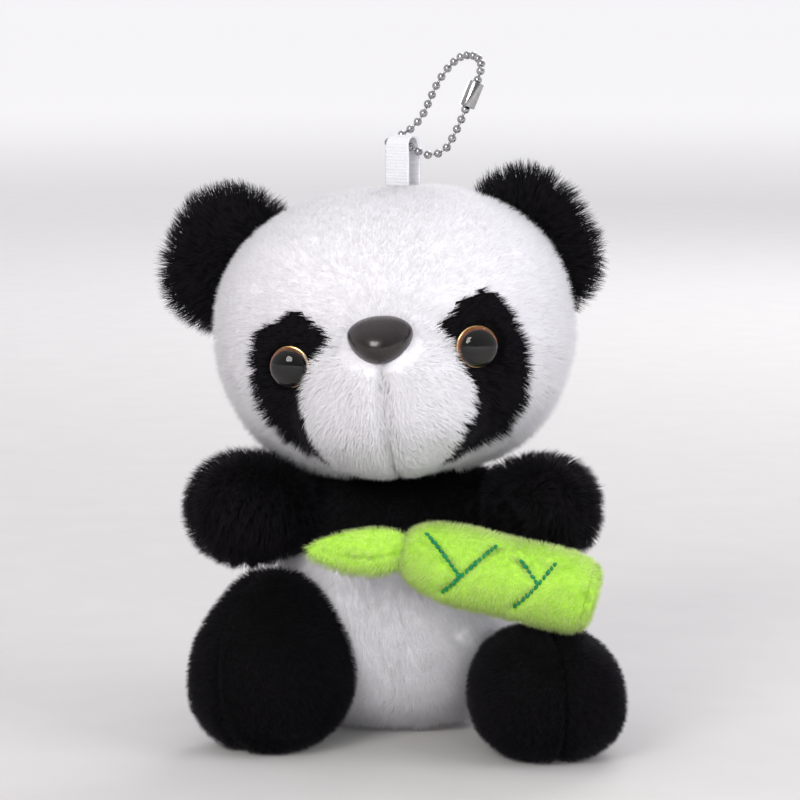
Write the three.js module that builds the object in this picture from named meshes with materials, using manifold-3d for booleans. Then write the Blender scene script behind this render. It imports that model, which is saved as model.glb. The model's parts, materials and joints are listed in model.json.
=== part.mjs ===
// Seated plush panda with a hanging loop, a ball chain and a bamboo shoot held across its belly.
// Millimetres, +Z up. The toy faces -Y and its left, for someone facing it, is -X.
// The origin is on the floor, under the middle of the whole toy.
import * as THREE from 'three';
import { mergeVertices } from 'three/addons/utils/BufferGeometryUtils.js';
import Module from 'manifold-3d';

const wasm = await Module();
wasm.setup();

// ---- Clearances and fabric ----
const gap = 0.3; // between pieces that lie against each other
const seamGap = 0.3; // between two panels where they are sewn together
const plush = 1.2; // plush fabric, backing and pile
const limbGap = 2.0; // room that a sewn-on limb has to swing in
const neckGap = 1.3; // between the head and the shoulders

// ---- Head ----
const head = { halfX: 36, halfY: 28, halfZ: 29, power: 2.5 };
const headX = -0.9;
const headY = -0.5;
const headSitDown = 6.5; // how far the head comes down over the rounded top of the torso
const headRoll = THREE.MathUtils.degToRad(5.3);
const headYaw = THREE.MathUtils.degToRad(5);
const headTurn = THREE.MathUtils.degToRad(12); // how far the head can turn to each side
const headSeamY = 3; // seam between the face and the back of the head
const snout = { halfX: 18, halfY: 15.5, halfZ: 14, power: 2.3 };
const snoutForward = 22; // from the middle of the head to the middle of the snout
const snoutDrop = 9.5;
const eyeSpacing = 35.4;
const eyeDrops = { left: 2.8, right: 1.9 }; // the eyes were not pushed in quite level
const eyeRadius = 4.0;
const eyeBackDepth = 1.0;
const irisInner = 2.1;
const irisThickness = 0.3;
const domeHeight = 2.9;
const shankRadius = 1.1;
const shankLength = 8;
const washerRadius = 3.8;
const washerThickness = 0.8;
const washerDepth = 3.6; // from the outside of the patch or snout to the washer
const patchLong = 15.2;
const patchShort = 8.8;
const patchLean = THREE.MathUtils.degToRad(22);
const patchOut = 20.2;
const patchDrop = 7.6;
const patchThickness = 0.8;
const nose = { halfX: 6.2, halfY: 3.4, halfZ: 4.6, power: 2.2 };
const noseRise = 11.2; // above the middle of the snout
const ears = {
  left: { halfX: 13.8, halfY: 4.6, halfZ: 15.6, power: 2.2 },
  right: { halfX: 12.6, halfY: 4.6, halfZ: 16.2, power: 2.2 },
};
const earAngles = { left: 27, right: 27 }; // degrees above level, seen from the front
const earSinks = { left: 0, right: 3.8 }; // from the surface of the head in to the middle of the ear
const earRootGap = 0.9;

// ---- Hanging loop and ball chain ----
const ribbonWidth = 5.5;
const ribbonThickness = 0.5;
const ribbonHeight = 8.6;
const ribbonSide = 4; // from the middle of the head
const ribbonTurn = THREE.MathUtils.degToRad(-35); // about the vertical
const ribbonFoot = 0.8; // between the ribbon and the head
const beadRadius = 0.85;
const beadPitch = 2.1;
const linkRadius = 0.28;
const beadPlay = 0.85; // between the chain and the inside of the ribbon
const connectorBore = beadRadius + 0.5;
const connectorWall = 0.25;
const connectorLength = 5.2;
const connectorAt = 0.325; // share of the way round the chain
// Middle line of the chain, from its bead inside the ribbon and round through the loop.
const chainRoute = [
  [0, 0, 0], [2.4, -1.6, -1.3], [4.9, -2.6, -2.2], [7.0, -3.0, -1.9], [8.6, -3.2, -0.8], [9.7, -3.4, 1.0],
  [11.3, -3.6, 4.3], [12.5, -3.6, 7.2], [13.9, -3.4, 10.6], [15.2, -2.4, 13.8], [15.4, 0.0, 16.0],
  [14.0, 3.2, 17.2], [11.6, 6.4, 16.9], [9.2, 8.6, 14.8], [7.2, 9.0, 12.0], [5.6, 8.0, 8.8],
  [4.0, 6.9, 5.4], [2.0, 6.2, 2.9], [-0.6, 5.4, 1.2], [-2.7, 3.9, 0.2], [-2.6, 1.9, -0.1],
];

// ---- Torso ----
const torso = { halfX: 24, halfY: 22, halfZ: 30, power: 2.4 };
const torsoX = -0.5;
const torsoY = 3;
const baseSink = 2.2; // how far the rounded bottom is pressed flat
const bandDrop = 14; // from the underside of the head to the hem of the black shoulder band
const neckRadius = 9;

// ---- Arms and legs ----
// Turns are measured outwards from straight ahead: of the root on the torso, of the line from the root to the
// middle, which is reach long, and of the way that the paw faces.
const rootBallRadius = 6.5; // rounded root of a limb, in its opening of the torso
const rootSink = 1; // from the surface of the torso to the middle of the rounded root
const arms = {
  left: {
    side: -1, shape: { halfX: 11.3, halfY: 14, halfZ: 12, power: 2.15 }, narrow: 0,
    rootTurn: 63, aim: 63, reach: 11.5, turn: 63,
  },
  right: {
    side: 1, shape: { halfX: 10.6, halfY: 13.2, halfZ: 11.2, power: 2.15 }, narrow: 0,
    rootTurn: 57, aim: 52, reach: 13.5, turn: 52,
  },
};
const armOverChin = { left: 2.7, right: 1.7 }; // from the head's underside to the top of the arm
const chinShare = 0.75; // place of that underside, from the middle of the head to that of the arm

const legs = {
  left: {
    side: -1, shape: { halfX: 14.8, halfY: 17.5, halfZ: 17.2, power: 2.3 }, narrow: 0.16,
    rootTurn: 50, aim: 40, reach: 10.8, turn: 41,
  },
  right: {
    side: 1, shape: { halfX: 14.8, halfY: 20, halfZ: 13.2, power: 2.3 }, narrow: 0.1,
    rootTurn: 65, aim: 26, reach: 21, turn: 12,
  },
};
const footSink = 1; // how far the rounded underside of a leg is pressed flat
const limbTaper = 0.1; // limbs are this share fatter at the paw and thinner at the root

// ---- Bamboo shoot ----
const stalkRadius = 8.1;
const stalkLength = 39;
const stalkLean = THREE.MathUtils.degToRad(14.3);
const stalkMiddleX = 18.6;
const stalkRestX = 28; // where the paw and the leg hold the stalk
const stalkPlay = 0.8; // between the stalk and what is over and under it
const capThickness = 1.4;
const endRounding = 4; // length over which the stalk rounds off towards the leaf
const stuffingHoleRadius = 2; // in the end panel, closed by the cap
const leafLength = 18;
const leafHalfHeight = 5.6;
const leafHalfDepth = 3;
const threadRadius = 0.45;
const tackRadius = 0.9;
const tackShare = 0.35; // place of the tack, from the middle of the toy to the middle of the stalk
// Each embroidered fork starts at a place along the stalk, from its middle, and up round it, from its front.
// Its three lines end at places along and up from that start.
const forks = {
  1: { at: -7.6, up: -1.6, lines: [[-8.0, 7.2], [4.9, 8.8], [-2.3, -4.6]] },
  2: { at: 7.4, up: 0.4, lines: [[-4.3, 3.6], [2.4, 5.4], [-3.0, -5.8]] },
};

const materials = {
  whitePlush: new THREE.MeshStandardMaterial({ color: 0xebe8f0, roughness: 0.95, metalness: 0 }),
  blackPlush: new THREE.MeshStandardMaterial({ color: 0x141318, roughness: 0.95, metalness: 0 }),
  greenPlush: new THREE.MeshStandardMaterial({ color: 0xb9ee5e, roughness: 0.9, metalness: 0 }),
  greenThread: new THREE.MeshStandardMaterial({ color: 0x0a8a52, roughness: 0.6, metalness: 0 }),
  stuffing: new THREE.MeshStandardMaterial({ color: 0xf6f5f2, roughness: 1, metalness: 0 }),
  ribbon: new THREE.MeshStandardMaterial({ color: 0xf4f4f6, roughness: 0.7, metalness: 0 }),
  blackPlastic: new THREE.MeshStandardMaterial({ color: 0x0b0a0b, roughness: 0.2, metalness: 0 }),
  amber: new THREE.MeshStandardMaterial({ color: 0xc4661a, roughness: 0.3, metalness: 0.3 }),
  clearPlastic: new THREE.MeshStandardMaterial({
    color: 0x2a1408, roughness: 0.05, metalness: 0, transparent: true, opacity: 0.5,
  }),
  washerPlastic: new THREE.MeshStandardMaterial({ color: 0xe8e8e8, roughness: 0.5, metalness: 0 }),
  steel: new THREE.MeshStandardMaterial({ color: 0xc8c8cc, roughness: 0.25, metalness: 1 }),
};

// ---- Solids ----

/** A closed three.js geometry as a solid that can be cut and joined. */
function solidFrom(geometry, matrix = new THREE.Matrix4()) {
  const bare = geometry.clone();
  bare.deleteAttribute('normal');
  bare.deleteAttribute('uv');
  const merged = mergeVertices(bare.applyMatrix4(matrix), 1e-4);
  return new wasm.Manifold(new wasm.Mesh({
    numProp: 3,
    vertProperties: new Float32Array(merged.attributes.position.array),
    triVerts: new Uint32Array(merged.index.array),
  }));
}

function geometryFrom(solid) {
  const mesh = solid.getMesh();
  const geometry = new THREE.BufferGeometry();
  geometry.setAttribute('position', new THREE.BufferAttribute(new Float32Array(mesh.vertProperties), 3));
  geometry.setIndex(new THREE.BufferAttribute(new Uint32Array(mesh.triVerts), 1));
  geometry.computeVertexNormals();
  return geometry;
}

const moved = (x, y, z) => new THREE.Matrix4().makeTranslation(x, y, z);

/** How far the surface of a rounded shape is from its middle, along a direction. */
function reach(shape, direction) {
  const sum = Math.abs(direction.x / shape.halfX) ** shape.power
    + Math.abs(direction.y / shape.halfY) ** shape.power
    + Math.abs(direction.z / shape.halfZ) ** shape.power;
  return sum ** (-1 / shape.power);
}

/** Depth or height of the surface over a point, as the missing third coordinate. */
function surfaceHalf(shape, axis, first, second) {
  const [a, b] = { y: ['halfX', 'halfZ'], z: ['halfX', 'halfY'] }[axis];
  const left = 1 - Math.abs(first / shape[a]) ** shape.power - Math.abs(second / shape[b]) ** shape.power;
  return shape[axis === 'y' ? 'halfY' : 'halfZ'] * left ** (1 / shape.power);
}

const grown = (shape, by) => ({
  ...shape, halfX: shape.halfX + by, halfY: shape.halfY + by, halfZ: shape.halfZ + by,
});

/** A rounded shape, fatter towards -Y by the taper, and narrower from side to side towards its top. */
function blob(shape, matrix, [columns, rows], taper = 0, narrow = 0) {
  const geometry = new THREE.SphereGeometry(1, columns, rows);
  geometry.rotateX(Math.PI / 2);
  const { position } = geometry.attributes;
  const point = new THREE.Vector3();
  for (let i = 0; i < position.count; i += 1) {
    point.fromBufferAttribute(position, i);
    point.multiplyScalar(reach(shape, point));
    const widen = 1 - taper * (point.y / shape.halfY);
    const slim = 1 - narrow * (point.z / shape.halfZ);
    position.setXYZ(i, point.x * widen * slim, point.y, point.z * widen);
  }
  return solidFrom(geometry, matrix);
}

function box(x, y, z, matrix) {
  return solidFrom(new THREE.BoxGeometry(x, y, z), matrix);
}

function rod(radius, length, sides, matrix) {
  return solidFrom(new THREE.CylinderGeometry(radius, radius, length, sides), matrix);
}

function ball(radius, centre, columns = 10, rows = 7) {
  return solidFrom(new THREE.SphereGeometry(radius, columns, rows), moved(centre.x, centre.y, centre.z));
}

/** A turned piece: the profile is [radius, height] pairs, and the height runs along +Y of the matrix. */
function turned(profile, sides, matrix) {
  const points = profile.map(([radius, height]) => new THREE.Vector2(radius, height));
  return solidFrom(new THREE.LatheGeometry(points, sides), matrix);
}

const big = 200;

// Columns and rows of the rounded shapes. A cavity and what fills it have the same, so their facets match.
const coverDetail = [20, 13];
const fillDetail = [12, 8];
const snoutDetail = [16, 10];
const smallFillDetail = [10, 7];
const limbDetail = [14, 9];

/** The half of a solid on the side of a plane that its normal (x, y or z of the matrix) points to. */
function half(solid, matrix, axis, sign, offset = seamGap / 2) {
  const shift = { x: [1, 0, 0], y: [0, 1, 0], z: [0, 0, 1] }[axis].map((v) => v * sign * (big / 2 + offset));
  return solid.intersect(box(big, big, big, matrix.clone().multiply(moved(...shift))));
}

// ---- Places ----

const torsoZ = torso.halfZ - baseSink;
const torsoMatrix = moved(torsoX, torsoY, torsoZ);
const torsoTop = torsoZ + torso.halfZ;
const headZ = torsoTop - headSitDown + head.halfZ;
const headMatrix = moved(headX, headY, headZ)
  .multiply(new THREE.Matrix4().makeRotationZ(-headYaw))
  .multiply(new THREE.Matrix4().makeRotationY(-headRoll));
const headBottom = headZ - head.halfZ;
const floorUpTo = (height) => box(big, big, big, moved(0, 0, height - big / 2));
const floorCut = floorUpTo(0);
const torsoFront = torsoY - torso.halfY;

const onHead = (x, y, z) => new THREE.Vector3(x, y, z).applyMatrix4(headMatrix);

/** A frame whose +Y points out of a rounded shape at a point of its surface, in the head's own frame. */
function surfaceFrame(shape, middle, x, z) {
  const depth = surfaceHalf(shape, 'y', x, z);
  const slope = (value, size) => Math.sign(value) * Math.abs(value / size) ** (shape.power - 1) / size;
  const normal = new THREE.Vector3(
    slope(x, shape.halfX), slope(-depth, shape.halfY), slope(z, shape.halfZ),
  ).normalize();
  const upright = new THREE.Vector3(0, 0, 1);
  const across = new THREE.Vector3().crossVectors(normal, upright).normalize();
  const up = new THREE.Vector3().crossVectors(across, normal);
  return headMatrix.clone()
    .multiply(new THREE.Matrix4().makeBasis(across, normal, up))
    .setPosition(onHead(middle.x + x, middle.y - depth, middle.z + z));
}

// ---- The toy's tree of moving groups ----

const toy = new THREE.Group();

/** A group that turns about its own origin, placed in the toy's frame. */
function movingGroup(parent, place) {
  const group = new THREE.Group();
  const parentWorld = new THREE.Vector3();
  parent.updateWorldMatrix(true, false);
  parentWorld.setFromMatrixPosition(parent.matrixWorld);
  group.position.copy(place).sub(parentWorld);
  parent.add(group);
  group.updateWorldMatrix(true, false);
  return group;
}

/** Names a solid, gives it its material and stores it in its group's own frame. */
function addPiece(group, name, solid, material) {
  const geometry = geometryFrom(solid);
  geometry.applyMatrix4(group.matrixWorld.clone().invert());
  const mesh = new THREE.Mesh(geometry, material);
  mesh.name = name;
  group.add(mesh);
}

// ---- Head ----

const neckPivot = new THREE.Vector3(headX, headY, headBottom);
const headGroup = movingGroup(toy, neckPivot);
const headOuter = blob(head, headMatrix, coverDetail);
const headInner = blob(grown(head, -plush), headMatrix, fillDetail);
const snoutMiddle = new THREE.Vector3(0, -snoutForward, -snoutDrop);
const snoutMatrix = headMatrix.clone().multiply(moved(snoutMiddle.x, snoutMiddle.y, snoutMiddle.z));
const snoutOuter = blob(snout, snoutMatrix, snoutDetail);
const snoutInner = blob(grown(snout, -plush), snoutMatrix, smallFillDetail);
const snoutGrown = blob(grown(snout, gap), snoutMatrix, snoutDetail);
const stuffingSnout = blob(grown(snout, -plush - gap), snoutMatrix, smallFillDetail);
const neckBall = (radius) => ball(radius, neckPivot);

const sides = { left: -1, right: 1 };
const eyeFrames = {};
const noseFrame = surfaceFrame(snout, snoutMiddle, 0, noseRise);
for (const [name, side] of Object.entries(sides)) {
  const patchSurface = grown(head, gap + patchThickness + gap);
  eyeFrames[name] = surfaceFrame(patchSurface, new THREE.Vector3(), side * eyeSpacing / 2, -eyeDrops[name]);
}

const noseSolid = (by) => blob(grown(nose, by), noseFrame, limbDetail);

/** Room for a shank and its washer, from the outside of the fabric inwards. */
function shankRoom(frame) {
  const shankPlace = frame.clone().multiply(moved(0, -shankLength / 2, 0));
  const shank = rod(shankRadius + gap, shankLength + gap, 8, shankPlace);
  const washer = rod(
    washerRadius + gap, washerThickness + 2 * gap, 14,
    frame.clone().multiply(moved(0, -washerDepth - washerThickness / 2, 0)),
  );
  return shank.add(washer);
}

const shankRooms = [noseFrame, eyeFrames.left, eyeFrames.right].map(shankRoom);

let headShell = headOuter.subtract(headInner).subtract(snoutInner).subtract(neckBall(neckRadius + 2));
let headFill = blob(grown(head, -plush - gap), headMatrix, fillDetail)
  .add(stuffingSnout)
  .add(neckBall(neckRadius));
for (const room of [...shankRooms, noseSolid(gap)]) {
  headShell = headShell.subtract(room);
  headFill = headFill.subtract(room);
}
const headSeam = headMatrix.clone().multiply(moved(0, headSeamY, 0));
addPiece(headGroup, 'face_cover', half(headShell, headSeam, 'y', -1), materials.whitePlush);
addPiece(headGroup, 'back_of_head_cover', half(headShell, headSeam, 'y', 1), materials.whitePlush);
addPiece(headGroup, 'head_stuffing', headFill, materials.stuffing);

// The snout is two panels with a seam down its middle. The nose sits over the top of the seam.
const headGrown = blob(grown(head, gap), headMatrix, coverDetail);
let snoutShell = snoutOuter.subtract(snoutInner).subtract(headGrown).subtract(noseSolid(gap))
  .subtract(shankRooms[0]);
for (const frame of Object.values(eyeFrames)) {
  const eyeSeat = frame.clone().multiply(moved(0, eyeRadius / 2, 0));
  snoutShell = snoutShell.subtract(rod(eyeRadius + gap, eyeRadius * 2, 16, eyeSeat));
}
for (const [name, side] of Object.entries(sides)) {
  addPiece(headGroup, `snout_panel_${name}`, half(snoutShell, snoutMatrix, 'x', side), materials.whitePlush);
}

const washerProfile = [
  [shankRadius + gap, -washerDepth], [shankRadius + gap, -washerDepth - washerThickness],
  [washerRadius, -washerDepth - washerThickness], [washerRadius, -washerDepth],
  [shankRadius + gap, -washerDepth],
];

const noseShank = rod(shankRadius, shankLength, 8, noseFrame.clone().multiply(moved(0, -shankLength / 2, 0)));
addPiece(headGroup, 'nose', noseSolid(0).add(noseShank), materials.blackPlastic);
addPiece(headGroup, 'nose_washer', turned(washerProfile, 12, noseFrame), materials.washerPlastic);

// Each eye is a black back with its shank, an amber ring, a clear dome over both, and a washer in the head.
const ringLow = eyeBackDepth + gap;
const domeSteps = 5;
const domeRecess = ringLow + irisThickness + gap;
const domeProfile = [
  [0, domeRecess], [eyeRadius - gap, domeRecess], [eyeRadius - gap, ringLow], [eyeRadius, ringLow],
];
for (let i = 1; i <= domeSteps; i += 1) {
  const angle = (i / domeSteps) * (Math.PI / 2);
  const radius = i === domeSteps ? 0 : eyeRadius * Math.cos(angle);
  domeProfile.push([radius, ringLow + domeHeight * Math.sin(angle)]);
}
const irisOuter = eyeRadius - 2 * gap;
const irisProfile = [
  [irisInner, ringLow], [irisOuter, ringLow], [irisOuter, ringLow + irisThickness],
  [irisInner, ringLow + irisThickness], [irisInner, ringLow],
];
const eyeBackProfile = [
  [0, -shankLength], [shankRadius, -shankLength], [shankRadius, 0], [eyeRadius, 0], [eyeRadius, eyeBackDepth],
  [0, eyeBackDepth],
];
for (const [name, side] of Object.entries(sides)) {
  const frame = eyeFrames[name];
  const outline = new THREE.Shape().absellipse(0, 0, patchShort, patchLong, 0, Math.PI * 2);
  const prism = new THREE.ExtrudeGeometry(outline, {
    depth: head.halfY * 2, bevelEnabled: false, curveSegments: 12,
  });
  prism.rotateX(Math.PI / 2);
  const patchPlace = headMatrix.clone()
    .multiply(moved(side * patchOut, 0, -patchDrop))
    .multiply(new THREE.Matrix4().makeRotationY(side * patchLean));
  const patch = blob(grown(head, gap + patchThickness), headMatrix, coverDetail)
    .subtract(headGrown)
    .intersect(solidFrom(prism, patchPlace))
    .subtract(snoutGrown)
    .subtract(shankRoom(frame));
  addPiece(headGroup, `eye_patch_${name}`, patch, materials.blackPlush);
  addPiece(headGroup, `eye_back_${name}`, turned(eyeBackProfile, 14, frame), materials.blackPlastic);
  addPiece(headGroup, `eye_ring_${name}`, turned(irisProfile, 14, frame), materials.amber);
  addPiece(headGroup, `eye_dome_${name}`, turned(domeProfile, 14, frame), materials.clearPlastic);
  addPiece(headGroup, `eye_washer_${name}`, turned(washerProfile, 12, frame), materials.washerPlastic);
}

// Each ear is a front and a back panel, folded about its root on the side of the head.
const headUnderEar = blob(grown(head, earRootGap), headMatrix, coverDetail);
for (const [name, side] of Object.entries(sides)) {
  const earAngle = THREE.MathUtils.degToRad(earAngles[name]);
  const outward = new THREE.Vector3(side * Math.cos(earAngle), 0, Math.sin(earAngle));
  const root = outward.clone().multiplyScalar(reach(head, outward) - earSinks[name]).setY(headSeamY);
  const earMatrix = headMatrix.clone()
    .multiply(moved(root.x, root.y, root.z))
    .multiply(new THREE.Matrix4().makeRotationY(-side * earAngle));
  const earGroup = movingGroup(headGroup, onHead(root.x, root.y, root.z));
  const earSolid = blob(ears[name], earMatrix, limbDetail).subtract(headUnderEar);
  addPiece(earGroup, `ear_front_${name}`, half(earSolid, earMatrix, 'y', -1), materials.blackPlush);
  addPiece(earGroup, `ear_back_${name}`, half(earSolid, earMatrix, 'y', 1), materials.blackPlush);
}

// ---- Hanging loop ----

const ribbonY = headSeamY;
const ribbonRoot = onHead(ribbonSide, ribbonY, surfaceHalf(head, 'z', ribbonSide, ribbonY) + ribbonFoot);
const loopGroup = movingGroup(headGroup, ribbonRoot);
const ribbonFrame = moved(ribbonRoot.x, ribbonRoot.y, ribbonRoot.z)
  .multiply(new THREE.Matrix4().makeRotationZ(ribbonTurn));
const bendInner = beadRadius + beadPlay;
const bendOuter = bendInner + ribbonThickness;
const straight = ribbonHeight - bendOuter;
const ribbonOutline = new THREE.Shape();
ribbonOutline.moveTo(bendOuter, 0);
ribbonOutline.lineTo(bendOuter, straight);
ribbonOutline.absarc(0, straight, bendOuter, 0, Math.PI, false);
ribbonOutline.lineTo(-bendOuter, 0);
ribbonOutline.lineTo(-bendInner, 0);
ribbonOutline.lineTo(-bendInner, straight);
ribbonOutline.absarc(0, straight, bendInner, Math.PI, 0, true);
ribbonOutline.lineTo(bendInner, 0);
const ribbonStrip = new THREE.ExtrudeGeometry(
  ribbonOutline, { depth: ribbonWidth, bevelEnabled: false, curveSegments: 8 },
);
// The outline's X becomes the toy's Y, its Y becomes up, and the strip's width runs along X.
ribbonStrip.applyMatrix4(new THREE.Matrix4().set(
  0, 0, 1, -ribbonWidth / 2,
  1, 0, 0, 0,
  0, 1, 0, 0,
  0, 0, 0, 1,
));
addPiece(loopGroup, 'ribbon_loop', solidFrom(ribbonStrip, ribbonFrame), materials.ribbon);

// ---- Ball chain ----

const chainPivot = ribbonRoot.clone().add(new THREE.Vector3(0, 0, straight + beadPlay - gap));
const chainGroup = movingGroup(loopGroup, chainPivot);
const chainLine = new THREE.CatmullRomCurve3(
  chainRoute.map(([x, y, z]) => new THREE.Vector3(x, y, z).add(chainPivot)), true,
);
chainLine.arcLengthDivisions = 400;
const upY = new THREE.Vector3(0, 1, 0);

/** A frame at a point, whose +Y points along a direction. */
function alongFrame(point, direction) {
  const turn = new THREE.Quaternion().setFromUnitVectors(upY, direction.clone().normalize());
  return new THREE.Matrix4().compose(point, turn, new THREE.Vector3(1, 1, 1));
}

const chainLength = chainLine.getLength();
const chainAt = (share) => chainLine.getPointAt(((share % 1) + 1) % 1);
const halfBead = beadPitch / 2;

/** Radius of the chain at a place along one pitch, as [place, radius]: a link, then a bead. */
const pitchProfile = [
  [0, linkRadius], [halfBead - beadRadius * 0.6, beadRadius * 0.8], [halfBead, beadRadius],
  [halfBead + beadRadius * 0.6, beadRadius * 0.8],
];
const chainSides = 5;

/** The open chain: rings of points along its line, closed at the middle of each end. */
function chainSolidFrom(start, count) {
  const profile = [[halfBead - beadRadius, 0]];
  for (let bead = 0; bead < count; bead += 1) {
    for (const [place, radius] of pitchProfile.slice(bead === 0 ? 1 : 0)) {
      profile.push([bead * beadPitch + place, radius]);
    }
  }
  profile.push([(count - 1) * beadPitch + halfBead + beadRadius, 0]);
  const points = profile.map(([place, radius]) => new THREE.Vector2(radius, place));
  const geometry = new THREE.LatheGeometry(points, chainSides);
  const { position } = geometry.attributes;
  const point = new THREE.Vector3();
  for (let i = 0; i < position.count; i += 1) {
    point.fromBufferAttribute(position, i);
    const share = start + point.y / chainLength;
    const frame = alongFrame(chainAt(share), chainAt(share + 1e-3).sub(chainAt(share - 1e-3)));
    point.setY(0).applyMatrix4(frame);
    position.setXYZ(i, point.x, point.y, point.z);
  }
  return solidFrom(geometry);
}

// The two end beads are side by side inside the connector, and no link joins them.
const beadCount = Math.floor(chainLength / beadPitch);
addPiece(chainGroup, 'ball_chain', chainSolidFrom(connectorAt, beadCount), materials.steel);
const connectorFrame = alongFrame(
  chainAt(connectorAt), chainAt(connectorAt + 0.01).sub(chainAt(connectorAt - 0.01)),
);
const connectorProfile = [
  [connectorBore, -connectorLength / 2], [connectorBore + connectorWall, -connectorLength / 2],
  [connectorBore + connectorWall, connectorLength / 2], [connectorBore, connectorLength / 2],
  [connectorBore, -connectorLength / 2],
];
addPiece(chainGroup, 'chain_connector', turned(connectorProfile, 12, connectorFrame), materials.steel);

// ---- Limbs: an egg with a seam down its middle, on a rounded root in an opening of the torso ----

/** The head with room around it, turned to each side as far as it goes. */
function headSweep(by) {
  const about = moved(headX, headY, 0);
  return [-1, 0, 1]
    .map((side) => about.clone()
      .multiply(new THREE.Matrix4().makeRotationZ(side * headTurn))
      .multiply(about.clone().invert())
      .multiply(headMatrix))
    .map((matrix) => blob(grown(head, by), matrix, snoutDetail))
    .reduce((whole, turnedHead) => whole.add(turnedHead));
}

const headOverLimbs = headSweep(neckGap);
const headOverCavity = headSweep(neckGap + plush);
const headOverFill = headSweep(neckGap + plush + gap);
const rootRooms = [];

/** Height of the head's underside, part of the way out to a place. */
function headUnderside(x, y) {
  return headZ - surfaceHalf(head, 'z', (x - headX) * chinShare, (y - headY) * chinShare);
}

function limb(name, spec, root, middle, panels) {
  const turn = THREE.MathUtils.degToRad(spec.turn) * spec.side;
  const matrix = moved(middle.x, middle.y, middle.z).multiply(new THREE.Matrix4().makeRotationZ(turn));
  const awayFromTorso = (by) => blob(grown(torso, limbGap + by), torsoMatrix, snoutDetail);
  const egg = (by, detail) => blob(grown(spec.shape, by), matrix, detail, limbTaper, spec.narrow);
  const outer = egg(0, limbDetail).subtract(awayFromTorso(0)).subtract(headOverLimbs).subtract(floorCut);
  const cavity = egg(-plush, smallFillDetail)
    .subtract(awayFromTorso(plush))
    .subtract(floorUpTo(plush))
    .subtract(headOverCavity);
  const shell = outer.subtract(cavity).subtract(ball(rootBallRadius + gap, root));
  const fill = egg(-plush - gap, smallFillDetail)
    .subtract(awayFromTorso(plush + gap))
    .subtract(floorUpTo(plush + gap))
    .subtract(headOverFill)
    .add(ball(rootBallRadius, root));
  const group = movingGroup(toy, root);
  addPiece(group, `${name}_${panels[0]}_panel`, half(shell, matrix, 'x', spec.side), materials.blackPlush);
  addPiece(group, `${name}_${panels[1]}_panel`, half(shell, matrix, 'x', -spec.side), materials.blackPlush);
  addPiece(group, `${name}_stuffing`, fill, materials.stuffing);
  rootRooms.push(ball(rootBallRadius + gap, root));
}

/** A direction in the horizontal plane, turned outwards from straight ahead. */
function outwards(side, degrees) {
  const angle = THREE.MathUtils.degToRad(degrees);
  return new THREE.Vector3(side * Math.sin(angle), -Math.cos(angle), 0);
}

/** A limb's root, just inside the surface of the torso at a height. */
function rootOnTorso(spec, height) {
  const level = Math.abs((height - torsoZ) / torso.halfZ);
  const shrink = (1 - level ** torso.power) ** (1 / torso.power);
  const outward = outwards(spec.side, spec.rootTurn);
  const distance = reach(torso, outward) * shrink - rootSink;
  return new THREE.Vector3(torsoX, torsoY, height).addScaledVector(outward, distance);
}

const middles = {};
for (const [name, spec] of Object.entries(arms)) {
  const ahead = outwards(spec.side, spec.aim).multiplyScalar(spec.reach);
  const roughRoot = rootOnTorso(spec, headBottom - spec.shape.halfZ / 2);
  const armMiddle = roughRoot.clone().add(ahead);
  armMiddle.z = headUnderside(armMiddle.x, armMiddle.y) + armOverChin[name] - spec.shape.halfZ;
  middles[`arm_${name}`] = armMiddle;
  limb(`arm_${name}`, spec, roughRoot.setZ(armMiddle.z), armMiddle, ['back', 'front']);
}
for (const [name, spec] of Object.entries(legs)) {
  const root = rootOnTorso(spec, spec.shape.halfZ - footSink);
  const legMiddle = root.clone().add(outwards(spec.side, spec.aim).multiplyScalar(spec.reach));
  middles[`leg_${name}`] = legMiddle;
  limb(`leg_${name}`, spec, root, legMiddle, ['outer', 'inner']);
}

// ---- Torso: a white front and back under a black shoulder band, open at the neck and at each limb ----

let torsoShell = blob(torso, torsoMatrix, snoutDetail).subtract(floorCut).subtract(headOverLimbs);
let torsoFill = blob(grown(torso, -plush - gap), torsoMatrix, fillDetail)
  .subtract(floorUpTo(plush + gap))
  .subtract(headOverLimbs)
  .subtract(neckBall(neckRadius + 2 * gap));
const torsoCavity = blob(grown(torso, -plush), torsoMatrix, fillDetail)
  .subtract(floorUpTo(plush));
torsoShell = torsoShell.subtract(torsoCavity).subtract(neckBall(neckRadius + 1));
for (const room of rootRooms) {
  torsoShell = torsoShell.subtract(room);
  torsoFill = torsoFill.subtract(room);
}
const hem = moved(0, 0, headBottom - bandDrop);
const sideSeam = moved(0, torsoY, 0);
const bellyShell = half(torsoShell, hem, 'z', -1);
addPiece(toy, 'shoulder_band', half(torsoShell, hem, 'z', 1), materials.blackPlush);
addPiece(toy, 'belly_cover', half(bellyShell, sideSeam, 'y', -1), materials.whitePlush);
addPiece(toy, 'lower_back_cover', half(bellyShell, sideSeam, 'y', 1), materials.whitePlush);
addPiece(toy, 'torso_stuffing', torsoFill, materials.stuffing);

// ---- Bamboo shoot: it lies over the right leg, in front of the belly and under the right paw ----

const legUnder = middles.leg_right.z + legs.right.shape.halfZ;
const stalkRestZ = legUnder + stalkPlay + stalkRadius / Math.cos(stalkLean);
const pawRise = middles.arm_right.z - stalkRestZ;
const pawDistance = arms.right.shape.halfZ * (1 + limbTaper) + stalkRadius + stalkPlay;
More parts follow.
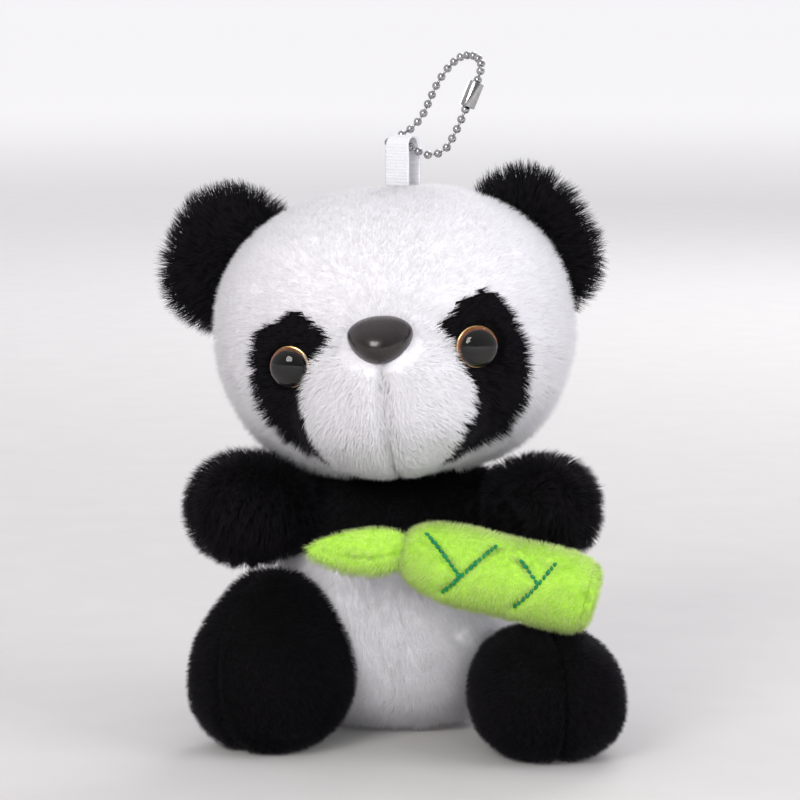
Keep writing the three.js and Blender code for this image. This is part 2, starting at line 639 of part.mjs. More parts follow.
// How far the stalk lies in front of the paw's middle: nothing, where the paw is high enough to clear it.
const behindPaw = Math.sqrt(Math.max(pawDistance ** 2 - pawRise ** 2, 0));
const stalkY = Math.min(middles.arm_right.y - behindPaw, torsoFront - tackRadius * 2 - stalkRadius);
const stalkMiddle = new THREE.Vector3(
  stalkMiddleX, stalkY, stalkRestZ + (stalkRestX - stalkMiddleX) * Math.tan(stalkLean),
);
const stalkMatrix = moved(stalkMiddle.x, stalkMiddle.y, stalkMiddle.z)
  .multiply(new THREE.Matrix4().makeRotationY(stalkLean));

// A short thread tack holds the stalk to the belly, and the stalk swings about it.
const tackX = stalkMiddleX * tackShare;
const tackZ = stalkMiddle.z + (stalkMiddleX - tackX) * Math.tan(stalkLean);
const tackFrom = stalkMiddle.y + stalkRadius + gap;
const tackTo = torsoY - surfaceHalf(torso, 'y', tackX - torsoX, tackZ - torsoZ) - gap;
const stalkGroup = movingGroup(toy, new THREE.Vector3(tackX, tackTo, tackZ));

/** A barrel along the stalk: the profile's radius at each place, as a turned piece along X. */
function stalkTurned(profile, sideCount) {
  const alongX = stalkMatrix.clone().multiply(new THREE.Matrix4().makeRotationZ(-Math.PI / 2));
  return turned(profile, sideCount, alongX);
}
const stalkEnd = stalkLength / 2;
const roundEnd = stalkEnd - endRounding;
const endRadius = stalkRadius * 0.96;
const stalkProfile = (by) => [
  [0, -stalkEnd + by], [stalkRadius * 0.62 - by, -stalkEnd + by], [stalkRadius * 0.9 - by, -roundEnd],
  [stalkRadius - by, -stalkLength * 0.12], [stalkRadius - by, stalkLength * 0.2],
  [endRadius - by, stalkEnd - capThickness - gap - by], [0, stalkEnd - capThickness - gap - by],
];
const holePlace = stalkMatrix.clone()
  .multiply(moved(stalkEnd - capThickness, 0, 0))
  .multiply(new THREE.Matrix4().makeRotationZ(Math.PI / 2));
const stuffingHole = rod(stuffingHoleRadius, 2 * (capThickness + plush), 10, holePlace);
const stalkShell = stalkTurned(stalkProfile(0), 22)
  .subtract(stalkTurned(stalkProfile(plush), 16))
  .subtract(stuffingHole);
addPiece(stalkGroup, 'bamboo_stalk', stalkShell, materials.greenPlush);
addPiece(stalkGroup, 'bamboo_stuffing', stalkTurned(stalkProfile(plush + gap), 12), materials.stuffing);
const capProfile = [
  [0, stalkEnd - capThickness], [endRadius, stalkEnd - capThickness],
  [stalkRadius * 0.9, stalkEnd - capThickness / 7], [stalkRadius * 0.7, stalkEnd], [0, stalkEnd],
];
addPiece(stalkGroup, 'bamboo_end_cap', stalkTurned(capProfile, 22), materials.greenPlush);

// The leaf is two panels, one in front of the other, and narrows to its tip.
const leafOutline = new THREE.Shape();
leafOutline.moveTo(0, leafHalfHeight * 0.8);
leafOutline.quadraticCurveTo(-leafLength * 0.4, leafHalfHeight * 1.3, -leafLength, leafHalfHeight * 0.5);
leafOutline.quadraticCurveTo(-leafLength * 0.6, -leafHalfHeight * 0.9, -leafLength * 0.35, -leafHalfHeight);
leafOutline.lineTo(0, -leafHalfHeight * 0.8);
const leafStrip = new THREE.ExtrudeGeometry(
  leafOutline, { depth: 2 * leafHalfDepth, bevelEnabled: false, curveSegments: 6 },
);
leafStrip.rotateX(Math.PI / 2);
const leafMatrix = stalkMatrix.clone().multiply(moved(-stalkEnd - gap, leafHalfDepth, 0));
const leafWhole = solidFrom(leafStrip, leafMatrix);
addPiece(stalkGroup, 'bamboo_leaf_front', half(leafWhole, stalkMatrix, 'y', -1), materials.greenPlush);
addPiece(stalkGroup, 'bamboo_leaf_back', half(leafWhole, stalkMatrix, 'y', 1), materials.greenPlush);

// Each embroidered fork is one thread figure laid on the front of the stalk.
function threadLine(from, to) {
  const lift = stalkRadius + threadRadius + gap;
  const steps = 4;
  const points = [];
  for (let i = 0; i <= steps; i += 1) {
    const x = from[0] + ((to[0] - from[0]) * i) / steps;
    const around = (from[1] + ((to[1] - from[1]) * i) / steps) / stalkRadius;
    const point = new THREE.Vector3(x, -lift * Math.cos(around), lift * Math.sin(around));
    points.push(point.applyMatrix4(stalkMatrix));
  }
  const path = new THREE.CatmullRomCurve3(points);
  const section = new THREE.Shape().absarc(0, 0, threadRadius, 0, Math.PI * 2);
  return solidFrom(new THREE.ExtrudeGeometry(
    section, { steps: 4, extrudePath: path, curveSegments: 3, bevelEnabled: false },
  ));
}
for (const [name, { at, up, lines }] of Object.entries(forks)) {
  const fork = lines
    .map(([along, rise]) => threadLine([at, up], [at + along, up + rise]))
    .reduce((whole, line) => whole.add(line));
  addPiece(stalkGroup, `bamboo_embroidery_${name}`, fork, materials.greenThread);
}

addPiece(
  stalkGroup, 'bamboo_tack_thread',
  rod(tackRadius, tackTo - tackFrom, 8, moved(tackX, (tackFrom + tackTo) / 2, tackZ)), materials.greenThread,
);

// The origin goes to the floor, under the middle of the whole toy.
toy.updateMatrixWorld(true);
const toyMiddle = new THREE.Box3().setFromObject(toy).getCenter(new THREE.Vector3());
toy.position.set(-toyMiddle.x, -toyMiddle.y, 0);
toy.updateMatrixWorld(true);

export default toy;
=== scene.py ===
"""Looks of the seated plush panda: sewn skins and their pile, safety eyes, ribbon, ball chain and bamboo shoot.

Sizes are millimetres until a mesh is made. +Z is up and the panda faces -Y.
"""
import json
import math

import bmesh
import bpy
import numpy as np
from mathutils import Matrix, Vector


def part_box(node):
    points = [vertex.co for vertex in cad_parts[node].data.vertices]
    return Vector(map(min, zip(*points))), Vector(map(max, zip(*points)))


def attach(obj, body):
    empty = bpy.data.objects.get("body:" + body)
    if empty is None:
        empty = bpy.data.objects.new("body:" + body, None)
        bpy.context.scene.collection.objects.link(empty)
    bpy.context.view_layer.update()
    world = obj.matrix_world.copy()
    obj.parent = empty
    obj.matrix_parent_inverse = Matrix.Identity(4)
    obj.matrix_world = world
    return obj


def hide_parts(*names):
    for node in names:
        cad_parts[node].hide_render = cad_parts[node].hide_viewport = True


MM = 0.001
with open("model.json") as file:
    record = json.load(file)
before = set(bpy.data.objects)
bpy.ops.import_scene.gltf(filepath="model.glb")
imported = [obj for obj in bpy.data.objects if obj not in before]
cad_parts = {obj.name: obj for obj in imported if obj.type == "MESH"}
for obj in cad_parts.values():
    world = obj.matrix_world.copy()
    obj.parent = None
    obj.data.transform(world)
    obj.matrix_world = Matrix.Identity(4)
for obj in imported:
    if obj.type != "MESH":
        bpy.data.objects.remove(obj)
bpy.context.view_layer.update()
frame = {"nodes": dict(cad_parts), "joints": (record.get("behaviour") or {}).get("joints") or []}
joints = {joint["name"]: joint for joint in frame["joints"]}


def node_box(*nodes):
    """Lowest and highest corner of some CAD nodes, in millimetres."""
    boxes = [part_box(node) for node in nodes]
    low = np.min([np.array(box[0]) for box in boxes], axis=0) / MM
    high = np.max([np.array(box[1]) for box in boxes], axis=0) / MM
    return low, high


def node_middle(node):
    low, high = node_box(node)
    return (low + high) / 2


def pivot(joint):
    return np.array(joints[joint]["pos_m"]) / MM


# ---- Pile ----

# Strands per square millimetre, their length, width at the root, lean from upright in degrees, how strongly
# they gather in tufts, whether they bend, and how much the flow wanders.
PILE = {
    "head": dict(density=9.0, length=2.9, width=0.14, lean=60, tuft=0.22, bent=False, wander=0.2),
    "snout": dict(density=12.0, length=2.6, width=0.12, lean=56, tuft=0.2, bent=True, wander=0.35),
    "patch": dict(density=14.0, length=2.3, width=0.12, lean=54, tuft=0.15, bent=True, wander=0.3),
    "belly": dict(density=8.5, length=3.1, width=0.13, lean=50, tuft=0.35, bent=False, wander=0.5),
    "band": dict(density=11.0, length=3.4, width=0.12, lean=46, tuft=0.35, bent=False, wander=0.5),
    "arm": dict(density=12.0, length=3.7, width=0.105, lean=38, tuft=0.4, bent=True, wander=0.5),
    "ear": dict(density=12.0, length=3.8, width=0.105, lean=36, tuft=0.42, bent=True, wander=0.6),
    "leg": dict(density=12.0, length=2.0, width=0.13, lean=36, tuft=0.3, bent=False, wander=0.5),
    "bamboo": dict(density=13.0, length=1.35, width=0.105, lean=38, tuft=0.15, bent=False, wander=0.6),
    "leaf": dict(density=12.0, length=1.5, width=0.11, lean=42, tuft=0.3, bent=False, wander=0.6),
}
PIECE_FACES = 190_000  # the most faces of pile in one object
TUFT_SPACING = 1.1  # between the tufts that strands gather in
FABRIC = 0.8  # thickness of the backing

# ---- Sizes of the shapes, as in the CAD ----

HEAD_HALF = np.array([36.0, 28.0, 29.0])
HEAD_POWER = 2.5
HEAD_ROLL = math.radians(5.3)
HEAD_YAW = math.radians(5)
HEAD_TURN = math.radians(12)
HEAD_SEAM = 3
HEAD_INSET = 1.2  # how far the sewn skin lies under the CAD's surface, to leave room for the pile
SNOUT_MIDDLE = np.array([0, -22, -9.5])
SNOUT_HALF = np.array([18, 15.5, 14])
SNOUT_POWER = 2.3
CHIN_MIDDLE = np.array([0, -17.0, -17.5])
CHIN_HALF = np.array([14.5, 15.5, 9.5])
NOSE_RISE = 11.2
NOSE_HALF = np.array([6.0, 3.7, 5.3])
NOSE_SINK = 0.5
PATCHES = {  # outlines seen from the front, outwards and up from the middle of the face
    -1: [(10.8, 1.6), (13.4, 4.6), (16.4, 7.0), (18.8, 8.2), (21.4, 5.8), (25.8, 4.6), (27.4, -0.5),
         (27.7, -7.0), (26.0, -13.4), (21.8, -18.6), (12.9, -24.2), (16.0, -16.5), (17.0, -12.0),
         (16.8, -8.0), (15.0, -3.0), (11.8, -0.4)],
    1: [(11.7, 2.4), (13.6, 3.6), (16.8, 7.2), (21.0, 8.9), (24.2, 7.0), (26.2, 3.0), (28.0, -3.6),
        (27.9, -9.6), (26.2, -15.0), (22.2, -20.6), (8.8, -25.8), (13.2, -20.2), (17.0, -14.6),
        (17.4, -9.4), (15.4, -4.4), (13.6, -0.2)],
}
PILE_REACH = 1.7  # how far along the face the patches' pile reaches past their edges
EYE_RADIUS = 4.0
RING_HEIGHT = 1.45  # of the middle of the amber ring, over the back of the eye
SHANK_RADIUS = 1.1
SHANK_LENGTH = 6
IRIS_RADIUS = 3.66
PUPIL_RADIUS = 3.08
PUPIL_SHIFT = (0.22, -0.3)  # outwards and up
RIM_RADIUS = 3.86
RIM_THICKNESS = 0.34
DOME_FOOT = 1.68
DOME_RISE = 2.35
TORSO_HALF = np.array([24, 22, 30])
TORSO_POWER = 2.4
TORSO_SINK = 2.2
TORSO_INSET = 1.2
LIMB_KINDS = {
    "arm": dict(power=2.15, inset=2.5, root_ball=7.5, panels=("back", "front")),
    "leg": dict(power=2.3, inset=1.3, root_ball=8, panels=("outer", "inner")),
}
LIMBS = {
    "arm_left": dict(joint="arm_left_swing", side=-1, half=(11.3, 14, 12), peak=0, narrow=0, aim=63, reach=11.5,
                     turn=63),
    "arm_right": dict(joint="arm_right_swing", side=1, half=(10.6, 13.2, 11.2), peak=0, narrow=0, aim=52,
                      reach=13.5, turn=52),
    "leg_left": dict(joint="leg_left_splay", side=-1, half=(14.3, 17.5, 17.2), peak=0.16, narrow=0.27, aim=40,
                     reach=10.8, turn=41),
    "leg_right": dict(joint="leg_right_splay", side=1, half=(14.8, 20, 13.2), peak=0, narrow=0.1, aim=26,
                      reach=21, turn=12),
}
LIMB_TAPER = 0.1
HEAD_CLEARANCE = 0.8  # between the head, however far it turns, and the skins round it
EAR_ANGLE = math.radians(27)
EARS = {
    "left": dict(side=-1, half=(13.8, 4.6, 15.6)),
    "right": dict(side=1, half=(12.6, 4.6, 16.2)),
}
STALK_LEAN = math.radians(14.3)
STALK_LENGTH = 39
STALK_RADIUS = 8.1
LEAF_LENGTH = 18
FORKS = {
    "bamboo_embroidery_1": dict(at=-7.4, up=-1.2, lines=((-8.4, 8.0), (5.6, 9.4), (-2.6, -5.4))),
    "bamboo_embroidery_2": dict(at=7.3, up=1.3, lines=((-4.4, 4.6), (2.6, 6.2), (-3.4, -6.8))),
}
STITCH_PITCH = 1.15
STITCH_HALF = np.array([0.60, 0.36, 0.38])
STITCH_DEPTH = 0.95
RIBBON_WIDTH = 5.5
RIBBON_THICKNESS = 0.5
RIBBON_HEIGHT = 8.6
RIBBON_BEND = 1.95  # radius of its middle line over the chain
RIBBON_FOOT = -1.6  # where it ends, inside the head's seam
RIBBON_RIB = 0.62  # from one rib of the weave to the next
RIBBON_TURN = math.radians(-35)
CHAIN_ROUTE = [
    (0, 0, 0), (2.4, -1.6, -1.3), (4.9, -2.6, -2.2), (7.0, -3.0, -1.9), (8.6, -3.2, -0.8), (9.7, -3.4, 1.0),
    (11.3, -3.6, 4.3), (12.5, -3.6, 7.2), (13.9, -3.4, 10.6), (15.2, -2.4, 13.8), (15.4, 0.0, 16.0),
    (14.0, 3.2, 17.2), (11.6, 6.4, 16.9), (9.2, 8.6, 14.8), (7.2, 9.0, 12.0), (5.6, 8.0, 8.8),
    (4.0, 6.9, 5.4), (2.0, 6.2, 2.9), (-0.6, 5.4, 1.2), (-2.7, 3.9, 0.2), (-2.6, 1.9, -0.1),
]
BEAD_RADIUS = 0.85
BEAD_PITCH = 2.1
LINK_RADIUS = 0.25
CONNECTOR_AT = 0.325
CONNECTOR_BORE = 1.35
CONNECTOR_WALL = 0.25
CONNECTOR_LENGTH = 5.2
CONNECTOR_SLOT = math.radians(42)

# ---- Camera and light ----

CAMERA_LENS = 157.5
CAMERA_SENSOR = 36
CAMERA_DISTANCE = 700
CAMERA_ELEVATION = math.radians(7)
CAMERA_AIM = np.array([0.9, 0.5, 66.0])  # from the neck's joint sideways and back, from the floor upwards
LAMP_AIM = Vector((0, 0, 0.06))
LAMPS = {  # places and sizes in metres
    "key": dict(place=(-0.5, -1.0, 0.62), size=0.5, watts=8, colour=(1, 0.985, 0.96), reflected=True),
    "low_fill": dict(place=(0.15, -1.1, 0.2), size=0.7, watts=5.5, colour=(1, 1, 1), reflected=False),
    "side_fill": dict(place=(0.95, -0.55, 0.5), size=0.8, watts=6.5, colour=(0.95, 0.97, 1), reflected=False),
    "rim": dict(place=(0.35, 0.9, 0.8), size=0.6, watts=5, colour=(1, 1, 1), reflected=True),
}
WORLD_COLOUR = (0.97, 0.96, 1.0, 1)
WORLD_BRIGHT_SIDE = (0, 0.85, 0.55)
WORLD_FACING = (-0.75, 0.45)  # how far a direction faces the bright side where the strength starts and ends
WORLD_STRENGTH = (0.2, 0.8)
FLOOR_REACH = 40_000


# ---- Camera, light and floor ----

def add_camera():
    data = bpy.data.cameras.new("camera")
    data.lens = CAMERA_LENS
    data.sensor_width = CAMERA_SENSOR
    data.clip_end = 200
    camera = bpy.data.objects.new("camera", data)
    bpy.context.scene.collection.objects.link(camera)
    neck = pivot("neck_turn")
    target = CAMERA_AIM + np.array([neck[0], neck[1], 0])
    way = np.array([0, -math.cos(CAMERA_ELEVATION), math.sin(CAMERA_ELEVATION)])
    camera.location = Vector((target + CAMERA_DISTANCE * way) * MM)
    camera.rotation_euler = (math.pi / 2 - CAMERA_ELEVATION, 0, 0)
    bpy.context.scene.camera = camera


def add_lamp(name, place, size, watts, colour, reflected):
    data = bpy.data.lights.new(name, "AREA")
    data.shape = "RECTANGLE"
    data.size = size
    data.size_y = size
    data.energy = watts
    data.color = colour
    lamp = bpy.data.objects.new(name, data)
    lamp.location = place
    lamp.visible_glossy = reflected
    lamp.rotation_euler = (LAMP_AIM - Vector(place)).to_track_quat("-Z", "Y").to_euler()
    bpy.context.scene.collection.objects.link(lamp)


def add_world():
    """A pale studio, darker on the camera's side so that glossy pieces stay dark."""
    world = bpy.data.worlds.new("studio")
    bpy.context.scene.world = world
    n = Nodes(world, "Background")
    facing = n.add("VectorMath", operation="DOT_PRODUCT")
    facing.inputs[1].default_value = WORLD_BRIGHT_SIDE
    n.link(n.add("TexCoord").outputs["Generated"], facing.inputs[0])
    strength = n.map_range(facing.outputs["Value"], WORLD_FACING, WORLD_STRENGTH)
    n.link(strength, n.shader.inputs["Strength"])
    n.set(Color=WORLD_COLOUR)


# ---- Materials ----

class Nodes:
    """A short way to build the node tree of a material or of the world."""

    def __init__(self, owner, shader="Principled BSDF"):
        owner.use_nodes = True
        self.owner = owner
        self.tree = owner.node_tree
        self.shader = self.tree.nodes[shader]

    def add(self, kind, **values):
        node = self.tree.nodes.new("ShaderNode" + kind)
        for key, value in values.items():
            setattr(node, key, value)
        return node

    def link(self, source, socket):
        self.tree.links.new(source, socket)

    def coordinates(self, stretch=(1, 1, 1)):
        source = self.add("TexCoord")
        mapping = self.add("Mapping")
        mapping.inputs["Scale"].default_value = stretch
        self.link(source.outputs["Object"], mapping.inputs["Vector"])
        return mapping.outputs["Vector"]

    def noise(self, scale, detail=3, stretch=(1, 1, 1)):
        node = self.add("TexNoise")
        node.inputs["Scale"].default_value = scale
        node.inputs["Detail"].default_value = detail
        self.link(self.coordinates(stretch), node.inputs["Vector"])
        return node.outputs["Fac"]

    def ramp(self, factor, stops):
        node = self.add("ValToRGB")
        elements = node.color_ramp.elements
        while len(elements) < len(stops):
            elements.new(0.5)
        for element, (place, colour) in zip(elements, stops):
            element.position = place
            element.color = (*colour, 1)
        self.link(factor, node.inputs["Fac"])
        return node.outputs["Color"]

    def multiply(self, first, second):
        node = self.add("Mix", data_type="RGBA", blend_type="MULTIPLY")
        node.inputs[0].default_value = 1
        self.link(first, node.inputs[6])
        self.link(second, node.inputs[7])
        return node.outputs[2]

    def map_range(self, factor, source=(0, 1), target=(0, 1)):
        node = self.add("MapRange")
        for socket, value in zip(("From Min", "From Max", "To Min", "To Max"), (*source, *target)):
            node.inputs[socket].default_value = value
        self.link(factor, node.inputs["Value"])
        return node.outputs["Result"]

    def colour(self, socket):
        self.link(socket, self.shader.inputs["Base Color"])

    def roughness(self, factor, low, high):
        self.link(self.map_range(factor, target=(low, high)), self.shader.inputs["Roughness"])

    def bump(self, height, strength, distance):
        node = self.add("Bump")
        node.inputs["Strength"].default_value = strength
        node.inputs["Distance"].default_value = distance
        self.link(height, node.inputs["Height"])
        self.link(node.outputs["Normal"], self.shader.inputs["Normal"])

    def set(self, **values):
        for key, value in values.items():
            self.shader.inputs[key.replace("_", " ")].default_value = value


def new_material(name):
    return Nodes(bpy.data.materials.new(name))


def grey(*levels):
    return [(place, (level, level, level)) for place, level in levels]


def pile_material(name, root, middle, tip, sheen, tint, roughness=0.8, specular=0.2):
    """Pile coloured from root to tip, darker at the root as painted shade deep in the pile, and each strand a
    little lighter or darker than the next.
    """
    n = new_material(name)
    layout = n.add("UVMap", uv_map="OFBake")
    axes = n.add("SeparateXYZ")
    n.link(layout.outputs["UV"], axes.inputs["Vector"])
    # Painted shade: each strand darkens towards its root, deep in the pile.
    along = n.ramp(axes.outputs["Y"], [(0.0, root), (0.45, middle), (1.0, tip)])
    strand = n.ramp(axes.outputs["X"], grey((0.0, 0.84), (0.5, 0.97), (1.0, 1.0)))
    n.colour(n.multiply(along, strand))
    n.set(Roughness=roughness, Sheen_Weight=sheen, Sheen_Roughness=0.4, Sheen_Tint=(*tint, 1),
          Specular_IOR_Level=specular)
    return n.owner


def backing_material(name, dark, light):
    """The knitted backing that shows between the strands."""
    n = new_material(name)
    n.colour(n.ramp(n.noise(900, 4), [(0.3, dark), (0.7, light)]))
    n.set(Roughness=0.95, Specular_IOR_Level=0.15)
    n.bump(n.noise(2600, 2), 0.6, 0.0003)
    return n.owner


def glossy_material(name, dark, light, low, high, coat=0.0, specular=0.5, peel=0.08):
    """Moulded plastic: fine variation in its colour and gloss, and a faint orange-peel skin."""
    n = new_material(name)
    n.colour(n.ramp(n.noise(260, 3), [(0.3, dark), (0.7, light)]))
    n.roughness(n.noise(420, 4), low, high)
    n.set(Coat_Weight=coat, Coat_Roughness=0.05, Specular_IOR_Level=specular)
    n.bump(n.noise(1500, 2), peel, 0.0001)
    return n.owner


def amber_material():
    """Painted iris: orange and brown, with fine rays."""
    n = new_material("amber")
    rays = n.ramp(n.noise(2200, 2), grey((0.25, 0.6), (0.7, 1.0)))
    stops = [(0.2, (0.20, 0.035, 0.004)), (0.6, (0.50, 0.13, 0.012)), (0.9, (0.75, 0.3, 0.05))]
    base = n.ramp(n.noise(500, 3), stops)
    n.colour(n.multiply(base, rays))
    n.roughness(n.noise(900, 2), 0.3, 0.45)
    return n.owner


def gold_material():
    n = new_material("gold_rim")
    n.colour(n.ramp(n.noise(900, 2), [(0.3, (0.75, 0.42, 0.12)), (0.7, (0.95, 0.66, 0.3))]))
    n.roughness(n.noise(1200, 2), 0.15, 0.3)
    n.set(Metallic=0.9)
    return n.owner


def steel_material():
    """Nickel-plated steel with fine scratches."""
    n = new_material("steel")
    n.colour(n.ramp(n.noise(700, 4), grey((0.3, 0.36), (0.7, 0.52))))
    n.roughness(n.noise(1800, 3, (1, 1, 8)), 0.12, 0.3)
    n.set(Metallic=1.0)
    return n.owner


def ribbon_material():
    """Woven tape: ribs across its length, darker where the weave's bump is low, which is painted shade in its
    grooves.
    """
    n = new_material("ribbon")
    weave = n.noise(4200, 1, (1, 1, 3))
    # Painted shade: the noise that lowers the weave's bump also darkens its colour.
    n.colour(n.ramp(weave, [(0.3, (0.62, 0.62, 0.66)), (0.7, (0.80, 0.80, 0.83))]))
    n.set(Roughness=0.5, Sheen_Weight=0.3, Sheen_Roughness=0.3)
    n.bump(weave, 0.5, 0.0001)
    return n.owner


def thread_material():
    n = new_material("green_thread")
    strands = n.noise(3600, 2, (1, 1, 0.3))
    # Painted shade: the noise that lowers the thread's bump also darkens its colour, between the strands.
    n.colour(n.ramp(strands, [(0.3, (0.0, 0.10, 0.03)), (0.7, (0.003, 0.27, 0.095))]))
    n.set(Roughness=0.5, Specular_IOR_Level=0.3)
    n.bump(strands, 0.5, 0.0001)
    return n.owner


def clear_material():
    n = new_material("clear")
    n.set(Base_Color=(1, 0.99, 0.98, 1), Roughness=0.02, Transmission_Weight=1.0, IOR=1.43)
    n.bump(n.noise(600, 1), 0.01, 0.00005)
    return n.owner


def floor_material():
    """A seamless floor sheet with painted light: darker near the panda, and lighter and faintly glowing far
    from it, where the lamps don't reach.
    """
    n = new_material("floor")
    away = n.add("VectorMath", operation="LENGTH")
    n.link(n.add("TexCoord").outputs["Object"], away.inputs[0])
    distance = away.outputs["Value"]
    # Painted light and shade: the floor darkens towards the panda and lightens far from it.
    painted_floor_light = n.ramp(n.map_range(distance, (0.2, 2.5)), [(0.0, (0.62, 0.605, 0.60)), (1.0, (0.93, 0.92, 0.92))])
    # Painted light: far from the panda the floor glows faintly, though it is no lamp.
    n.link(n.map_range(distance, (0.4, 3), (0, 0.3)), n.shader.inputs["Emission Strength"])
    grain = n.ramp(n.noise(60, 3), grey((0.3, 0.97), (0.7, 1.0)))
    n.colour(n.multiply(painted_floor_light, grain))
    n.set(Roughness=0.8, Specular_IOR_Level=0.15, Emission_Color=(1, 1, 1, 1))
    return n.owner


def make_materials():
    made = {
        "thread": thread_material(),
        "amber": amber_material(),
        "gold": gold_material(),
        "clear": clear_material(),
        "ribbon": ribbon_material(),
        "steel": steel_material(),
        # Each pile's root colour is darker than its tip: painted shade deep in the pile.
        "white_pile": pile_material(
            "white_pile", (0.78, 0.765, 0.80), (0.875, 0.86, 0.895), (0.92, 0.91, 0.935), 0.15, (1, 1, 1)),
        "black_pile": pile_material(
            "black_pile", (0.0012, 0.001, 0.0011), (0.003, 0.0027, 0.0034), (0.017, 0.015, 0.019), 0.07,
            (0.5, 0.45, 0.55), 0.7, 0.08),
        "green_pile": pile_material(
            "green_pile", (0.37, 0.62, 0.09), (0.58, 0.83, 0.19), (0.73, 0.92, 0.34), 0.12, (0.9, 1, 0.7)),
    }
    backings = {
        "white_backing": ((0.76, 0.74, 0.79), (0.86, 0.84, 0.89)),
        "black_backing": ((0.0012, 0.001, 0.0011), (0.0025, 0.0022, 0.0026)),
        "green_backing": ((0.28, 0.56, 0.04), (0.42, 0.72, 0.08)),
        "stuffing": ((0.82, 0.82, 0.8), (0.92, 0.92, 0.9)),
    }
    plastics = {  # dark and light colour, lowest and highest roughness, and the coat
        "black_plastic": ((0.005, 0.004, 0.004), (0.011, 0.008, 0.007), 0.08, 0.2, 0.6),
        "pupil": ((0.0015, 0.001, 0.001), (0.004, 0.003, 0.002), 0.4, 0.5, 0.0, 0.1, 0.01),
        "nose_plastic": ((0.008, 0.005, 0.005), (0.016, 0.011, 0.010), 0.2, 0.34, 0.25),
        "washer": ((0.72, 0.72, 0.72), (0.84, 0.84, 0.84), 0.4, 0.55),
    }
    made.update({name: backing_material(name, *colours) for name, colours in backings.items()})
    made.update({name: glossy_material(name, *values) for name, values in plastics.items()})
    return made


materials = make_materials()


# ---- Meshes ----

def mesh_object(name, points, faces, material):
    """A smooth object from points in millimetres and the name of its material."""
    mesh = bpy.data.meshes.new(name)
    mesh.from_pydata((np.asarray(points, float) * MM).tolist(), [], [list(map(int, face)) for face in faces])
    mesh.materials.append(materials[material])
    mesh.polygons.foreach_set("use_smooth", np.ones(len(mesh.polygons), bool))
    mesh.update()
    obj = bpy.data.objects.new(name, mesh)
    bpy.context.scene.collection.objects.link(obj)
    return obj


def joined(parts):
    """The points and faces of several pieces as those of one mesh."""
    points, faces, used = [], [], 0
    for part_points, part_faces in parts:
        points.append(part_points)
        faces += [[index + used for index in face] for face in part_faces]
        used += len(part_points)
    return np.concatenate(points), faces


def face_outwards(obj, merge=0):
    """Joins points that coincide, if asked to, and turns every face outwards."""
    shape = bmesh.new()
    shape.from_mesh(obj.data)
    if merge:
        bmesh.ops.remove_doubles(shape, verts=shape.verts, dist=merge)
    bmesh.ops.recalc_face_normals(shape, faces=shape.faces)
    shape.to_mesh(obj.data)
    shape.free()


def ride(obj, body, slot, *nodes, padded=None):
    """Puts a piece on its body and hides the CAD nodes that it stands for."""
    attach(obj, body)
    if nodes:
        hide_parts(*nodes)
    return obj


def rotation_z(angle):
    c, s = math.cos(angle), math.sin(angle)
    return np.array([[c, -s, 0], [s, c, 0], [0, 0, 1]])


def rotation_y(angle):
    c, s = math.cos(angle), math.sin(angle)
    return np.array([[c, 0, s], [0, 1, 0], [-s, 0, c]])


def unit(vectors):
    return vectors / np.maximum(np.linalg.norm(vectors, axis=-1, keepdims=True), 1e-9)


def bell(value, width):
    return np.exp(-(value / width) ** 2)


def widened(local, factor):
    """Points with only their sideways coordinate scaled."""
    return local * np.concatenate([factor, np.ones_like(factor), np.ones_like(factor)], 1)


def unit_ball(subdivisions):
    """Points and triangles of an even ball of radius 1."""
    ball = bmesh.new()
    bmesh.ops.create_icosphere(ball, subdivisions=subdivisions, radius=1)
    points = np.array([vertex.co for vertex in ball.verts])
    triangles = np.array([[vertex.index for vertex in face.verts] for face in ball.faces])
    ball.free()
    return points, triangles


BALLS = {subdivisions: unit_ball(subdivisions) for subdivisions in (3, 4, 5, 6)}


def rounded(local, half, power):
    """Roughly the distance from a rounded shape's surface: negative inside."""
    size = ((np.abs(local / half)) ** power).sum(-1) ** (1 / power)
    return np.linalg.norm(local, axis=-1) * (1 - 1 / np.maximum(size, 1e-6))


def soft_union(first, second, softness):
    return -softness * np.logaddexp(-first / softness, -second / softness)


def vertex_normals(points, triangles):
    a, b, c = (points[triangles[:, k]] for k in range(3))
    face = np.cross(b - a, c - a)
    total = np.zeros_like(points)
    for k in range(3):
        np.add.at(total, triangles[:, k], face)
    return unit(total)


